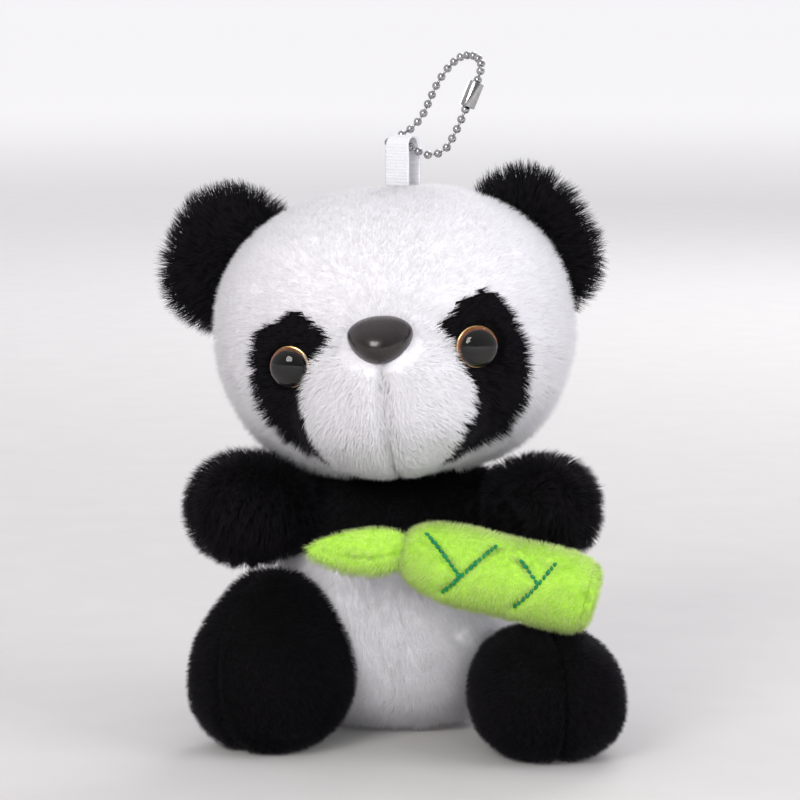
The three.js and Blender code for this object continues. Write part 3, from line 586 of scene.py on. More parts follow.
class Skin:
    """A closed surface round a middle, where a distance function reaches minus the inset."""

    def __init__(self, distance, middle, rotation, inset, subdivisions=5, floor=None):
        directions, self.triangles = BALLS[subdivisions]
        low = np.zeros(len(directions))
        high = np.full(len(directions), 70.0)
        for _ in range(24):
            half = (low + high) / 2
            outside = distance(directions * half[:, None]) > -inset
            high = np.where(outside, half, high)
            low = np.where(outside, low, half)
        self.middle = np.asarray(middle, float)
        self.rotation = rotation
        self.points = (directions * low[:, None]) @ rotation.T + self.middle
        if floor is not None:
            self.points[:, 2] = np.maximum(self.points[:, 2], floor)
        self.normals = vertex_normals(self.points, self.triangles)
        self.centres = self.points[self.triangles].mean(1)
        self.local_centres = self.to_local(self.centres)

    def to_local(self, points):
        return (points - self.middle) @ self.rotation

    def panel(self, name, keep, material):
        """The faces that a mask keeps, with the fabric's thickness, as one closed object."""
        triangles = self.triangles[keep]
        used, indices = np.unique(triangles, return_inverse=True)
        triangles = indices.reshape(triangles.shape)
        outer = self.points[used]
        inner = outer - self.normals[used] * FABRIC
        edges = np.concatenate([triangles[:, [0, 1]], triangles[:, [1, 2]], triangles[:, [2, 0]]])
        present = {(a, b) for a, b in edges.tolist()}
        rim = [(a, b) for a, b in present if (b, a) not in present]
        count = len(used)
        walls = [(b, a, a + count, b + count) for a, b in sorted(rim)]
        faces = triangles.tolist() + (triangles[:, ::-1] + count).tolist() + walls
        return mesh_object(name, np.concatenate([outer, inner]), faces, material)


def wavy(points, scale, seed):
    """Smooth vectors that change over about `scale` millimetres."""
    rng = np.random.default_rng(seed)
    total = np.zeros_like(points)
    for _ in range(6):
        wave = rng.normal(size=3) / scale * 2.2
        total += np.sin(points @ wave + rng.uniform(0, 6.28))[:, None] * rng.normal(size=3)
    return total / 3


def grow_pile(name, skin, keep, body, colour, style, flow, seed, length_at=None, lean_at=None):
    """Strands of pile on the faces of a skin that a mask keeps, leaning along a flow."""
    rng = np.random.default_rng(seed)
    triangles = skin.triangles[keep]
    a, b, c = (skin.points[triangles[:, k]] for k in range(3))
    areas = np.linalg.norm(np.cross(b - a, c - a), axis=1) / 2
    count = int(areas.sum() * style["density"])
    if count < 10:
        return
    corners = triangles[rng.choice(len(triangles), count, p=areas / areas.sum())]
    u, v = rng.random((2, count))
    flip = u + v > 1
    u, v = np.where(flip, 1 - u, u), np.where(flip, 1 - v, v)
    weights = np.stack([1 - u - v, u, v], 1)[..., None]
    roots = (skin.points[corners] * weights).sum(1)
    normals = unit((skin.normals[corners] * weights).sum(1))
    along = unit(flow(roots)) + style["wander"] * (wavy(roots, 8, seed + 1) + 0.6 * wavy(roots, 2.5, seed + 2))
    along = unit(along - (along * normals).sum(1, keepdims=True) * normals)
    side = np.cross(normals, along)
    stray = rng.normal(0, 0.25, count)[:, None]
    heading = along * np.cos(stray) + side * np.sin(stray)
    lean = np.radians(style["lean"] + rng.normal(0, 8, count))[:, None]
    if lean_at is not None:
        lean = lean * lean_at(roots)[:, None]
    lengths = style["length"] * rng.uniform(0.7, 1.1, count)
    if length_at is not None:
        lengths = lengths * length_at(roots)
    lengths = lengths[:, None]
    first = normals * np.cos(lean * 0.75) + heading * np.sin(lean * 0.75)
    second = normals * np.cos(lean * 1.2) + heading * np.sin(lean * 1.2)
    middles = roots + first * lengths * 0.5
    tips = middles + second * lengths * 0.5
    warped = (roots + 0.5 * TUFT_SPACING * wavy(roots, 2.0, seed + 3)) / TUFT_SPACING
    _, leaders, tufts = np.unique(np.floor(warped).astype(int), axis=0, return_index=True, return_inverse=True)
    leader = leaders[tufts.reshape(-1)]
    pull = style["tuft"] * rng.uniform(0.3, 1.0, count)[:, None]
    tips += (tips[leader] - tips) * pull
    middles += (middles[leader] - middles) * pull * 0.4
    roots = roots - normals * 0.2
    for points in (roots, middles, tips):
        points[:, 2] = np.maximum(points[:, 2], 0.05)
    width = style["width"] * rng.uniform(0.75, 1.2, count)
    add_strands(name, (roots, middles, tips), normals, width, rng, style["bent"], body, colour)


def sew_panel(skin, keep, node, body, colour, style, flow, seed, padded=0.85, shown=True, **shape):
    """The panel of plush that stands for a CAD node, and its pile where it shows."""
    piece = skin.panel(node + "_skin", keep, colour + "_backing")
    ride(piece, body, colour + "_plush", node, padded=padded)
    grow_pile(node + "_pile", skin, keep & shown, body, colour, PILE[style], flow, seed, **shape)


def add_strands(name, line, normals, width, rng, bent, body, colour):
    """Each strand is a closed three-sided spike, with a bend half way if it is bent."""
    roots, middles, tips = line
    count = len(roots)
    direction = unit(tips - roots)
    across = unit(np.cross(direction, normals + 0.01))
    other = np.cross(direction, across)
    spin = rng.uniform(0, 2 * math.pi, count)[:, None]
    rings = [across * np.cos(spin + turn) + other * np.sin(spin + turn)
             for turn in (0, 2 * math.pi / 3, 4 * math.pi / 3)]
    radius = width[:, None] / 2
    levels = [(roots, 1.0), (middles, 0.8)] if bent else [(roots, 1.0)]
    points = [at + ring * radius * scale for at, scale in levels for ring in rings] + [tips]
    shading = [unit(ring + normals * 1.8) for _ in levels for ring in rings] + [unit(direction + normals * 2)]
    top = 3 * (len(levels) - 1)
    faces = [(k, (k + 1) % 3, 3 + (k + 1) % 3, 3 + k) for k in range(3)] if bent else []
    faces += [(top + k, top + (k + 1) % 3, top + 3) for k in range(3)] + [(2, 1, 0)]
    heights = [0.0] * 3 + ([0.5] * 3 if bent else []) + [1.0]
    points = np.stack(points, axis=1)
    shading = np.stack(shading, axis=1)
    corner_count = points.shape[1]
    corners = np.array([index for face in faces for index in face])
    sizes = np.array([len(face) for face in faces])
    tint = rng.random(count)
    pieces = max(1, math.ceil(count * len(faces) / PIECE_FACES))
    for piece in range(pieces):
        chosen = slice(piece * count // pieces, (piece + 1) * count // pieces)
        number = chosen.stop - chosen.start
        mesh = bpy.data.meshes.new(name)
        mesh.vertices.add(number * corner_count)
        mesh.vertices.foreach_set("co", (points[chosen].reshape(-1) * MM).astype(np.float32))
        loops = (corners[None, :] + corner_count * np.arange(number)[:, None]).reshape(-1)
        starts = np.concatenate([[0], np.cumsum(np.tile(sizes, number))[:-1]])
        mesh.loops.add(len(loops))
        mesh.loops.foreach_set("vertex_index", loops.astype(np.int32))
        mesh.polygons.add(number * len(sizes))
        mesh.polygons.foreach_set("loop_start", starts.astype(np.int32))
        mesh.polygons.foreach_set("use_smooth", np.ones(number * len(sizes), bool))
        layout = mesh.uv_layers.new(name="OFBake")
        along = np.tile(np.array(heights)[corners], number)
        places = np.stack([np.repeat(tint[chosen], len(corners)), along], 1)
        layout.uv.foreach_set("vector", (0.02 + 0.96 * places).reshape(-1).astype(np.float32))
        mesh.update(calc_edges=True)
        own = mesh.attributes.new("custom_normal", "FLOAT_VECTOR", "POINT")
        own.data.foreach_set("vector", shading[chosen].reshape(-1).astype(np.float32))
        mesh.materials.append(materials[colour + "_pile"])
        obj = bpy.data.objects.new(name if pieces == 1 else f"{name}_{piece + 1}", mesh)
        bpy.context.scene.collection.objects.link(obj)
        ride(obj, body, colour + "_plush")


def turned(name, profile, origin, axis, material, segments=64, arc=2 * math.pi):
    """A turned piece: the profile is [radius, height] pairs, and the height runs along the axis."""
    axis = unit(np.asarray(axis, float))
    first = unit(np.cross(axis, [0.31, 0.2, 0.93]))
    second = np.cross(axis, first)
    whole = arc >= 2 * math.pi - 1e-6
    columns = segments if whole else segments + 1
    points = []
    for column in range(columns):
        angle = arc * column / segments
        ray = first * math.cos(angle) + second * math.sin(angle)
        points += [origin + ray * radius + axis * height for radius, height in profile]
    rows = len(profile)
    faces = []
    for column in range(segments):
        here, there = column * rows, ((column + 1) % columns) * rows
        for row in range(rows - 1):
            faces.append((here + row, there + row, there + row + 1, here + row + 1))
        if not whole:
            faces.append((here + rows - 1, there + rows - 1, there, here))
    if not whole:
        faces.append(tuple(range(rows)))
        faces.append(tuple(reversed(range((columns - 1) * rows, columns * rows))))
    obj = mesh_object(name, points, faces, material)
    face_outwards(obj, merge=1e-7)
    obj.data.set_sharp_from_angle(angle=math.radians(35))
    return obj


def rounded_corner(radius, height, size, start, steps=5):
    """Points round a corner whose arc's middle is at [radius, height]; the start angle is in degrees."""
    angles = np.radians(start + np.linspace(0, 90, steps))
    return [(radius + size * math.cos(a), height + size * math.sin(a)) for a in angles]


# ---- Distances that several pieces share ----

head_middle = pivot("neck_turn") + np.array([0, 0, HEAD_HALF[2]])
head_rotation = rotation_z(-HEAD_YAW) @ rotation_y(-HEAD_ROLL)
torso_middle = np.array([0, 0, TORSO_HALF[2] - TORSO_SINK])
torso_middle[:2] = pivot("neck_turn")[:2] + np.array([0.4, 3.5])


def snout_distance(local):
    from_snout = local - SNOUT_MIDDLE
    narrow = 1 + 0.14 * np.clip(from_snout[:, 2:3] / SNOUT_HALF[2], -1, 1)
    return rounded(widened(from_snout, narrow), SNOUT_HALF, SNOUT_POWER)


def chin_distance(local):
    return rounded(local - CHIN_MIDDLE, CHIN_HALF, 2.2)


def head_sweep(points):
    """Distance from the head in the positions that its joint gives it."""
    about = pivot("neck_turn")
    nearest = np.full(len(points), 1e9)
    for turn in (-HEAD_TURN, 0, HEAD_TURN):
        turned_points = (points - about) @ rotation_z(turn) + about
        local = (turned_points - head_middle) @ head_rotation
        nearest = np.minimum(nearest, rounded(local, HEAD_HALF, HEAD_POWER))
    return nearest


def torso_distance(points):
    return rounded(points - torso_middle, TORSO_HALF, TORSO_POWER)


# ---- Head ----

def inside_outline(x, z, outline):
    """Whether points are inside a closed outline."""
    inside = np.zeros(len(x), bool)
    for (x1, z1), (x2, z2) in zip(outline, np.roll(outline, -1, axis=0)):
        crosses = (z1 > z) != (z2 > z)
        inside ^= crosses & (x < (x2 - x1) * (z - z1) / (z2 - z1 + 1e-12) + x1)
    return inside


def eye_place(side_name):
    """Where an eye's back meets the face, and the way it looks."""
    ring = node_middle(f"eye_ring_{side_name}")
    axis = unit(ring - node_middle(f"eye_washer_{side_name}"))
    return ring - axis * RING_HEIGHT, axis


def nose_place():
    """The nose's middle and its axes: across, outwards and up."""
    rise = NOSE_RISE / SNOUT_HALF[2]
    depth = (1 - rise ** SNOUT_POWER) ** (1 / SNOUT_POWER)
    slope = SNOUT_POWER - 1
    normal = unit(np.array([0, -depth ** slope / SNOUT_HALF[1], rise ** slope / SNOUT_HALF[2]]))
    local = SNOUT_MIDDLE + np.array([0, -depth * SNOUT_HALF[1], NOSE_RISE - NOSE_SINK])
    across = np.array([1.0, 0, 0])
    up = np.cross(across, normal) * -1
    axes = np.stack([across, normal, up * np.sign(up[2])], 1)
    return local @ head_rotation.T + head_middle, head_rotation @ axes


def build_head():
    eyes = {name: eye_place(name) for name in ("left", "right")}
    eye_locals = [(place - head_middle) @ head_rotation for place, _ in eyes.values()]

    def distance(local):
        jaw = 0.10 * np.clip((-4 - local[:, 2:3]) / 25, 0, 1)
        crown = 0.04 * np.clip((local[:, 2:3] - 8) / 20, 0, 1)
        head = rounded(widened(local, 1 + jaw + crown), HEAD_HALF, HEAD_POWER)
        whole = soft_union(head, soft_union(snout_distance(local), chin_distance(local), 1.0), 1.5)
        under_nose = np.clip((-1.5 - local[:, 2]) / 3, 0, 1) * np.clip((-local[:, 1] - 20) / 6, 0, 1)
        whole = whole + 2.2 * bell(local[:, 0], 1.1) * under_nose
        for eye in eye_locals:
            apart = np.linalg.norm((local - eye)[:, [0, 2]], axis=1)
            whole = whole - 1.7 * bell(apart, 4.6) * (local[:, 1] < 0)
        return whole + 0.5 * bell(local[:, 1] - HEAD_SEAM, 0.7)

    skin = Skin(distance, head_middle, head_rotation, HEAD_INSET, subdivisions=6)
    local = skin.local_centres
    hidden = torso_distance(skin.centres) < -3
    nose_point = np.array([0, -36, 2.0])
    nose_local = (nose_place()[0] - head_middle) @ head_rotation
    patch = np.zeros(len(local), bool)
    for side, outline in PATCHES.items():
        outline = np.array(outline)
        outline = outline - unit(outline - nose_point[[0, 2]]) * PILE_REACH
        patch |= inside_outline(local[:, 0] * side, local[:, 2], outline) & (local[:, 1] < 0)
    snout = (np.minimum(snout_distance(local), chin_distance(local)) < 0.6) & (local[:, 1] < -16)
    left = local[:, 0] < 0
    front = local[:, 1] < HEAD_SEAM
    white = ~patch & ~snout

    def flow(roots):
        at = skin.to_local(roots)
        away = at - nose_point
        away[:, 2] -= 0.25 * np.clip(at[:, 1] + 18, 0, 30) + 2.5 * np.clip(at[:, 1] - 4, 0, 30)
        away[:, 1] *= 0.6
        return away @ head_rotation.T

    def clear_of_eyes(roots):
        """Shorter pile under the eyes, round the nose and on the crown, and longer on the cheeks."""
        keep = np.ones(len(roots))
        at = skin.to_local(roots)
        for eye in eye_locals:
            apart = np.linalg.norm((at - eye)[:, [0, 2]], axis=1) + 99 * (at[:, 1] > 0)
            inner = np.sign(eye[0]) * (eye - at)[:, 0] > 0.8
            under_eye = np.where(inner & (apart > EYE_RADIUS - 1.2), 0.75, 0.12)
            keep *= np.where(apart < EYE_RADIUS + 0.3, under_eye, 1)
        near_nose = np.linalg.norm((at - nose_local) / (NOSE_HALF + 1.0), axis=1) < 1.15
        keep *= np.where(near_nose, 0.35, 1)
        short = 0.62 + 0.38 * np.clip((26 - at[:, 2]) / 26, 0, 1)
        cheek = 1 + 0.25 * bell(at[:, 2] + 16, 10) * (np.abs(at[:, 0]) > 16)
        return keep * short * cheek

    def upright_on_jaw(roots):
        at = skin.to_local(roots)
        return 1 - 0.4 * np.clip((-14 - at[:, 2]) / 8, 0, 1) * (np.abs(at[:, 0]) > 10)

    regions = {
        "snout_panel_left": (snout & ~patch & left, "white", "snout"),
        "snout_panel_right": (snout & ~patch & ~left, "white", "snout"),
        "eye_patch_left": (patch & left, "black", "patch"),
        "eye_patch_right": (patch & ~left, "black", "patch"),
        "face_cover": (front & white, "white", "head"),
        "back_of_head_cover": (~front & white, "white", "head"),
    }
    for index, (node, (keep, colour, style)) in enumerate(regions.items()):
        sew_panel(skin, keep, node, "head", colour, style, flow, 10 + 5 * index, shown=~hidden,
                  length_at=clear_of_eyes, lean_at=upright_on_jaw)
    add_stuffing("head", skin, 4, lambda at: np.minimum(rounded(at, HEAD_HALF, HEAD_POWER), snout_distance(at)))
    for name, (place, axis) in eyes.items():
        build_eye(name, place, axis)
    build_nose()


def add_stuffing(name, skin, inset, distance, floor=None):
    """The filling: the skin's shape again, smaller and lumpy."""
    def lumpy(at):
        return distance(at) + 0.4 * wavy(at, 6, 77)[:, 0]

    filling = Skin(lumpy, skin.middle, skin.rotation, inset, 4, floor)
    piece = mesh_object(name + "_filling", filling.points, filling.triangles.tolist(), "stuffing")
    ride(piece, name, "stuffing", name + "_stuffing", padded=0.85)


def build_eye(name, place, axis):
    """A black back with its shank, a painted iris with a gold rim, a pupil, and a clear dome over them."""
    edge = EYE_RADIUS - 0.25
    back = [(0, -SHANK_LENGTH), (SHANK_RADIUS, -SHANK_LENGTH), (SHANK_RADIUS, -0.05), (EYE_RADIUS - 0.3, -0.05)]
    back += rounded_corner(edge, 0.2, 0.25, -90) + rounded_corner(edge, 0.9, 0.25, 0)
    back += [(EYE_RADIUS - 0.6, 1.1), (0, 1.1)]
    iris = [(2.2, 1.22), (IRIS_RADIUS, 1.22), (IRIS_RADIUS, 1.5), (2.2, 1.34), (2.2, 1.22)]
    pupil = [(0, 1.4), (PUPIL_RADIUS, 1.4), (PUPIL_RADIUS, 1.62), (0, 1.62)]
    outwards = {"left": -1, "right": 1}[name]
    shift = np.array([PUPIL_SHIFT[0] * outwards, 0, PUPIL_SHIFT[1]]) @ head_rotation.T
    half = RIM_THICKNESS / 2
    turns = np.linspace(0, 2 * math.pi, 9)
    rim = [(RIM_RADIUS + half * math.cos(a), RING_HEIGHT + half * math.sin(a)) for a in turns]
    dome = [(0, DOME_FOOT), (EYE_RADIUS - 0.3, DOME_FOOT)]
    dome += rounded_corner(edge, DOME_FOOT + 0.15, 0.15, -90, 4)
    dome += [((EYE_RADIUS - 0.08) * math.cos(a), DOME_FOOT + 0.15 + DOME_RISE * math.sin(a))
             for a in np.linspace(0.05, math.pi / 2, 22)[:-1]]
    dome += [(0, DOME_FOOT + DOME_RISE + 0.15)]
    parts = {
        "back": (back, place, "black_plastic", 64, "black_plastic", "eye_back_" + name),
        "iris": (iris, place, "amber", 64, "amber_plastic", "eye_ring_" + name),
        "pupil": (pupil, place + shift, "pupil", 64, "black_plastic"),
        "rim": (rim, place, "gold", 64, "amber_plastic"),
        "dome": (dome, place, "clear", 72, "clear_plastic", "eye_dome_" + name),
    }
    for part, (profile, middle, material, segments, *slot_and_node) in parts.items():
        piece = turned(f"eye_{name}_{part}", profile, middle, axis, material, segments)
        ride(piece, "head", *slot_and_node)


def build_nose():
    middle, axes = nose_place()

    def distance(local):
        taper = 1 - 0.3 * np.clip(-local[:, 2:3] / NOSE_HALF[2], -0.35, 1)
        return rounded(widened(local, 1 / taper), NOSE_HALF, 2.25)

    skin = Skin(distance, middle, axes, 0.0)
    piece = mesh_object("nose_shell", skin.points, skin.triangles.tolist(), "nose_plastic")
    ride(piece, "head", "black_plastic", "nose")


def build_ear(name, side, half):
    half = np.array(half)
    rotation = head_rotation @ rotation_y(-side * EAR_ANGLE)

    def distance(local):
        outwards = local[:, 0] * side
        cup = 2.4 * bell(outwards - 4, 6) * bell(local[:, 2], 8.5) * (local[:, 1] < 0)
        rim = 0.5 * bell(local[:, 1], 1.0)
        return rounded(local, half, 2.2) + cup + rim

    skin = Skin(distance, pivot(f"ear_{name}_fold"), rotation, 2.3)
    head_local = (skin.centres - head_middle) @ head_rotation
    shown = rounded(head_local, HEAD_HALF, HEAD_POWER) > -2.5

    def flow(roots):
        at = skin.to_local(roots) * np.array([1, 0.4, 1])
        return (at + np.array([side * 5.0, 0, 0])) @ rotation.T

    def longer_at_rim(roots):
        return 0.85 + 0.35 * bell(skin.to_local(roots)[:, 1], 2.2)

    front = skin.local_centres[:, 1] < 0
    for index, (keep, face) in enumerate([(front, "front"), (~front, "back")]):
        sew_panel(skin, keep, f"ear_{face}_{name}", f"ear_{name}", "black", "ear", flow, 80 + 10 * index + side,
                  padded=None, shown=shown, length_at=longer_at_rim)


# ---- Torso, arms and legs ----

def build_torso():
    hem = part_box("belly_cover")[1][2] / MM

    def distance(local):
        points = local + torso_middle
        tucked = 3.0 * np.clip((7 - points[:, 2]) / 6, 0, 1) * np.clip(-local[:, 1] / 22, 0, 1)
        return np.maximum(torso_distance(points) + tucked, HEAD_CLEARANCE - TORSO_INSET - head_sweep(points))

    skin = Skin(distance, torso_middle, np.eye(3), TORSO_INSET, 6, floor=0.5)
    centres = skin.centres
    band = centres[:, 2] > hem
    front = skin.local_centres[:, 1] < 0

    def flow(roots):
        at = roots - torso_middle
        near_head = np.clip((5 - head_sweep(roots)) / 4, 0, 1)
        return np.stack([at[:, 0] * 0.5, at[:, 1] * 0.1 - 1 - 12 * near_head, -12 + 20 * near_head], 1)

    def upright_below(roots):
        return 1 - 0.5 * np.clip((8 - roots[:, 2]) / 6, 0, 1)

    regions = {
        "shoulder_band": (band, "black", "band", head_sweep(centres) > -0.5),
        "belly_cover": (~band & front, "white", "belly", True),
        "lower_back_cover": (~band & ~front, "white", "belly", True),
    }
    for index, (node, (keep, colour, style, shown)) in enumerate(regions.items()):
        sew_panel(skin, keep, node, "torso", colour, style, flow, 60 + 5 * index, shown=shown,
                  lean_at=upright_below)
    add_stuffing("torso", skin, 4, distance, floor=3)


def build_limb(name, spec):
    side = spec["side"]
    kind = name.split("_")[0]
    shared = LIMB_KINDS[kind]
    root = pivot(spec["joint"])
    aim = math.radians(spec["aim"])
    middle = root + spec["reach"] * np.array([side * math.sin(aim), -math.cos(aim), 0])
    half = np.array(spec["half"], float)
    rotation = rotation_z(math.radians(spec["turn"]) * side)
    root_local = (root - middle) @ rotation

    def distance(local):
        widen = 1 - LIMB_TAPER * local[:, 1:2] / half[1]
        slim = 1 - spec["narrow"] * local[:, 2:3] / half[2]
        widen, slim = np.clip(widen, 0.6, 1.4), np.clip(slim, 0.6, 1.4)
        above = np.clip(local[:, 2:3] / half[2], 0, 1) ** 2
        pointed = 1 - spec["peak"] * above
        raised = 1 + spec["peak"] * above
        scaled = local / np.concatenate([widen * slim * pointed, pointed, widen * raised], 1)
        egg = rounded(scaled, half, shared["power"])
        stump = np.linalg.norm(local - root_local, axis=1) - shared["root_ball"]
        whole = soft_union(egg, stump, 0.8)
        groove = 1.0 * bell(local[:, 0], 0.8) * np.clip(-local[:, 1] / 4, 0, 1)
        points = local @ rotation.T + middle
        return np.maximum(whole + groove, HEAD_CLEARANCE - shared["inset"] - head_sweep(points))

    skin = Skin(distance, middle, rotation, shared["inset"], floor=0.5)
    shown = torso_distance(skin.centres) > -3

    def flow(roots):
        at = skin.to_local(roots)
        apart = np.sign(at[:, 0]) * (0.4 + 0.5 * bell(at[:, 0], 3))
        down = -0.5 - 0.03 * at[:, 2]
        if kind == "arm":
            way = [apart + 0.05 * at[:, 0], np.full_like(down, -0.55), down + 0.07 * at[:, 2]]
        else:
            way = [apart, np.full_like(down, -0.3), down * 1.6]
        return np.stack(way, 1) @ rotation.T

    def parted(roots):
        at = skin.to_local(roots)
        return 1 - 0.3 * bell(at[:, 0], 0.7) * (at[:, 1] < 0)

    outer = skin.local_centres[:, 0] * side > 0
    for index, (keep, panel) in enumerate(zip((outer, ~outer), shared["panels"])):
        sew_panel(skin, keep, f"{name}_{panel}_panel", name, "black", kind, flow, 103 + 20 * index + 3 * side,
                  shown=shown, length_at=parted)
    add_stuffing(name, skin, shared["inset"] + 2, distance, floor=3)


# ---- Bamboo shoot ----

def stalk_place():
    low, high = node_box("bamboo_stalk", "bamboo_end_cap")
    return (low + high) / 2, rotation_y(STALK_LEAN)


def stitch_distance(at, reach=1e9):
    """Distance on the stalk's front from the embroidered lines, for points in its frame."""
    around = np.arctan2(at[:, 2], -at[:, 1]) * STALK_RADIUS
    flat = np.stack([at[:, 0], around], 1)
    nearest = np.full(len(at), reach)
    for fork in FORKS.values():
        start = np.array([fork["at"], fork["up"]])
        for line in fork["lines"]:
            end = np.array(line, float)
            share = np.clip(((flat - start) @ end) / (end @ end), 0, 1)
            nearest = np.minimum(nearest, np.linalg.norm(flat - start - share[:, None] * end, axis=1))
    return nearest


def build_bamboo():
    middle, rotation = stalk_place()
    end = STALK_LENGTH / 2

    def distance(local):
        along = local[:, 0] / end
        radius = STALK_RADIUS * (1 - 0.03 * along ** 2 - 0.06 * np.clip(-along, 0, 1) ** 3)
        round_it = np.hypot(local[:, 1], local[:, 2]) / radius
        power = np.where(along < 0, 3.2, 7.0)
        size = (round_it ** power + np.abs(along) ** power) ** (1 / power)
        body = np.linalg.norm(local, axis=1) * (1 - 1 / np.maximum(size, 1e-6))
        groove = 1.2 * bell(stitch_distance(local), 1.1)
        cap_seam = 0.7 * bell(local[:, 0] - end + 2.4, 0.5) * (round_it > 0.5)
        soft = 0.35 * wavy(local, 9, 5)[:, 0]
        return body + groove + cap_seam + soft

    skin = Skin(distance, middle, rotation, 0.75, 6)
    cap = skin.local_centres[:, 0] > end - 2.4

    def flow(roots):
        at = skin.to_local(roots)
        return np.stack([0.3 * at[:, 0] / end, np.zeros(len(at)), -np.ones(len(at))], 1) @ rotation.T

    def short_at_stitches(roots):
        at = skin.to_local(roots)
        return 1 - 0.75 * bell(stitch_distance(at), 0.7)

    for index, (node, keep) in enumerate([("bamboo_stalk", ~cap), ("bamboo_end_cap", cap)]):
        sew_panel(skin, keep, node, "bamboo", "green", "bamboo", flow, 200 + index, padded=0.8,
                  length_at=short_at_stitches)
    add_stuffing("bamboo", skin, 3, distance)
    build_leaf(middle, rotation)
    for node, fork in FORKS.items():
        build_stitches(node, fork, skin)


def build_leaf(middle, rotation):
    """The leaf: short pile over a slanted seam and longer pile under it."""
    half = np.array([LEAF_LENGTH / 2 + 1.6, 2.9, 6.0])
    leaf_middle = middle + np.array([-STALK_LENGTH / 2 - LEAF_LENGTH / 2 + 1.6, 0, -2.6]) @ rotation.T

    def seam_height(x):
        return -0.6 + 0.2 * x + 0.02 * x ** 2

    def distance(local):
        along = local[:, 0] / half[0]
        slim = np.clip(0.8 + 0.3 * along, 0.3, 1.1)
        lifted = local.copy()
        lifted[:, 2] -= 0.22 * local[:, 0] + 0.6
        lifted[:, 1] /= np.clip(slim + 0.2, 0.3, 1)
        lifted[:, 2] /= slim
        seam = 0.7 * bell(local[:, 2] - seam_height(local[:, 0]), 0.5) * (local[:, 1] < 0)
        return rounded(lifted, half, 2.0) + seam

    skin = Skin(distance, leaf_middle, rotation, 0.7)

    def flow(roots):
        height = skin.to_local(roots)[:, 2]
        way = [np.full_like(height, -0.6), np.zeros_like(height), np.where(height > 2, 0.5, -1)]
        return np.stack(way, 1) @ rotation.T

    def shaggier_below(roots):
        at = skin.to_local(roots)
        return np.where(at[:, 2] > seam_height(at[:, 0]), 0.7, 1.25)

    front = skin.local_centres[:, 1] < 0
    for index, (node, keep) in enumerate([("bamboo_leaf_front", front), ("bamboo_leaf_back", ~front)]):
        sew_panel(skin, keep, node, "bamboo", "green", "leaf", flow, 220 + index, padded=0.6,
                  length_at=shaggier_below)


def build_stitches(node, fork, skin):
    """An embroidered fork: rows of short twisted stitches, each a small plump thread."""
    ball, triangles = BALLS[3]
    rng = np.random.default_rng(len(fork["lines"]) + int(10 + fork["at"]))
    start = np.array([fork["at"], fork["up"]])
    stitches = []
    for line in fork["lines"]:
        line = np.array(line, float)
        length = np.linalg.norm(line)
        count = max(3, int(length / STITCH_PITCH))
        way = line / length
        for index in range(count):
            flat = start + way * length * (index + 0.5) / count
            tilt = math.radians(34 if index % 2 else 14) * rng.uniform(0.7, 1.2)
            turned_way = np.array([way[0] * math.cos(tilt) - way[1] * math.sin(tilt),
                                   way[0] * math.sin(tilt) + way[1] * math.cos(tilt)])
            angle = flat[1] / STALK_RADIUS
            outwards = np.array([0, -math.cos(angle), math.sin(angle)])
            around = np.array([0, math.sin(angle), math.cos(angle)])
            along = np.array([turned_way[0], 0, 0]) + around * turned_way[1]
            across = np.cross(outwards, along)
            axes = np.stack([along, across, outwards])
            size = STITCH_HALF * rng.uniform(0.85, 1.1)
            place = np.array([flat[0], 0, 0]) + outwards * (STALK_RADIUS - STITCH_DEPTH)
            stitch = ((ball * size) @ axes + place) @ skin.rotation.T + skin.middle
            stitches.append((stitch, triangles.tolist()))
    ride(mesh_object(node + "_stitches", *joined(stitches), "thread"), "bamboo", "green_thread", node)


# ---- Ribbon and chain ----

def build_ribbon():
    """One folded strip of woven tape, with ribs across it and thicker edges."""
    root = pivot("loop_sway")
    rotation = rotation_z(RIBBON_TURN)
    straight = RIBBON_HEIGHT - RIBBON_BEND - RIBBON_THICKNESS / 2
    steps = 42
    line = [(RIBBON_BEND, RIBBON_FOOT + (straight - RIBBON_FOOT) * i / steps) for i in range(steps)]
    angles = np.linspace(0, math.pi, 30)
    arc = [(RIBBON_BEND * math.cos(a), straight + RIBBON_BEND * math.sin(a)) for a in angles]
    line = np.array(line + arc + [(-y, z) for y, z in reversed(line)])
    ways = unit(np.gradient(line, axis=0))
    sideways = np.stack([ways[:, 1], -ways[:, 0]], 1)
    columns = 25
    rows = len(line)
    lengths = np.concatenate([[0], np.cumsum(np.linalg.norm(np.diff(line, axis=0), axis=1))])
    points = []
    for face in (1, -1):
        for column in range(columns):
            share = 2 * column / (columns - 1) - 1
            edge = np.abs(share) > 0.88
            ribs = 0.06 * np.cos(lengths * 2 * math.pi / RIBBON_RIB + (math.pi if face < 0 else 0))
            lift = face * (RIBBON_THICKNESS / 2 - 0.03 + ribs + (0.02 if edge else 0))
            pinch = 1 - 0.1 * bell(line[:, 1] - straight - RIBBON_BEND, 2.2)
            at = line + sideways * np.broadcast_to(lift, rows)[:, None]
            points.append(np.stack([share * pinch * RIBBON_WIDTH / 2, at[:, 0], at[:, 1]], 1))
    points = np.concatenate(points) @ rotation.T + root
    faces = []

    def quad(*corners):
        faces.append([(face * columns + column) * rows + row for face, column, row in corners])

    for row in range(rows - 1):
        for column in range(columns - 1):
            quad((0, column, row), (0, column, row + 1), (0, column + 1, row + 1), (0, column + 1, row))
            quad((1, column + 1, row), (1, column + 1, row + 1), (1, column, row + 1), (1, column, row))
        for column in (0, columns - 1):
            quad((0, column, row), (1, column, row), (1, column, row + 1), (0, column, row + 1))
    for row in (0, rows - 1):
        for column in range(columns - 1):
            quad((0, column, row), (0, column + 1, row), (1, column + 1, row), (1, column, row))
    piece = mesh_object("ribbon_tape", points, faces, "ribbon")
    face_outwards(piece)
    ride(piece, "hanging_loop", "ribbon", "ribbon_loop")


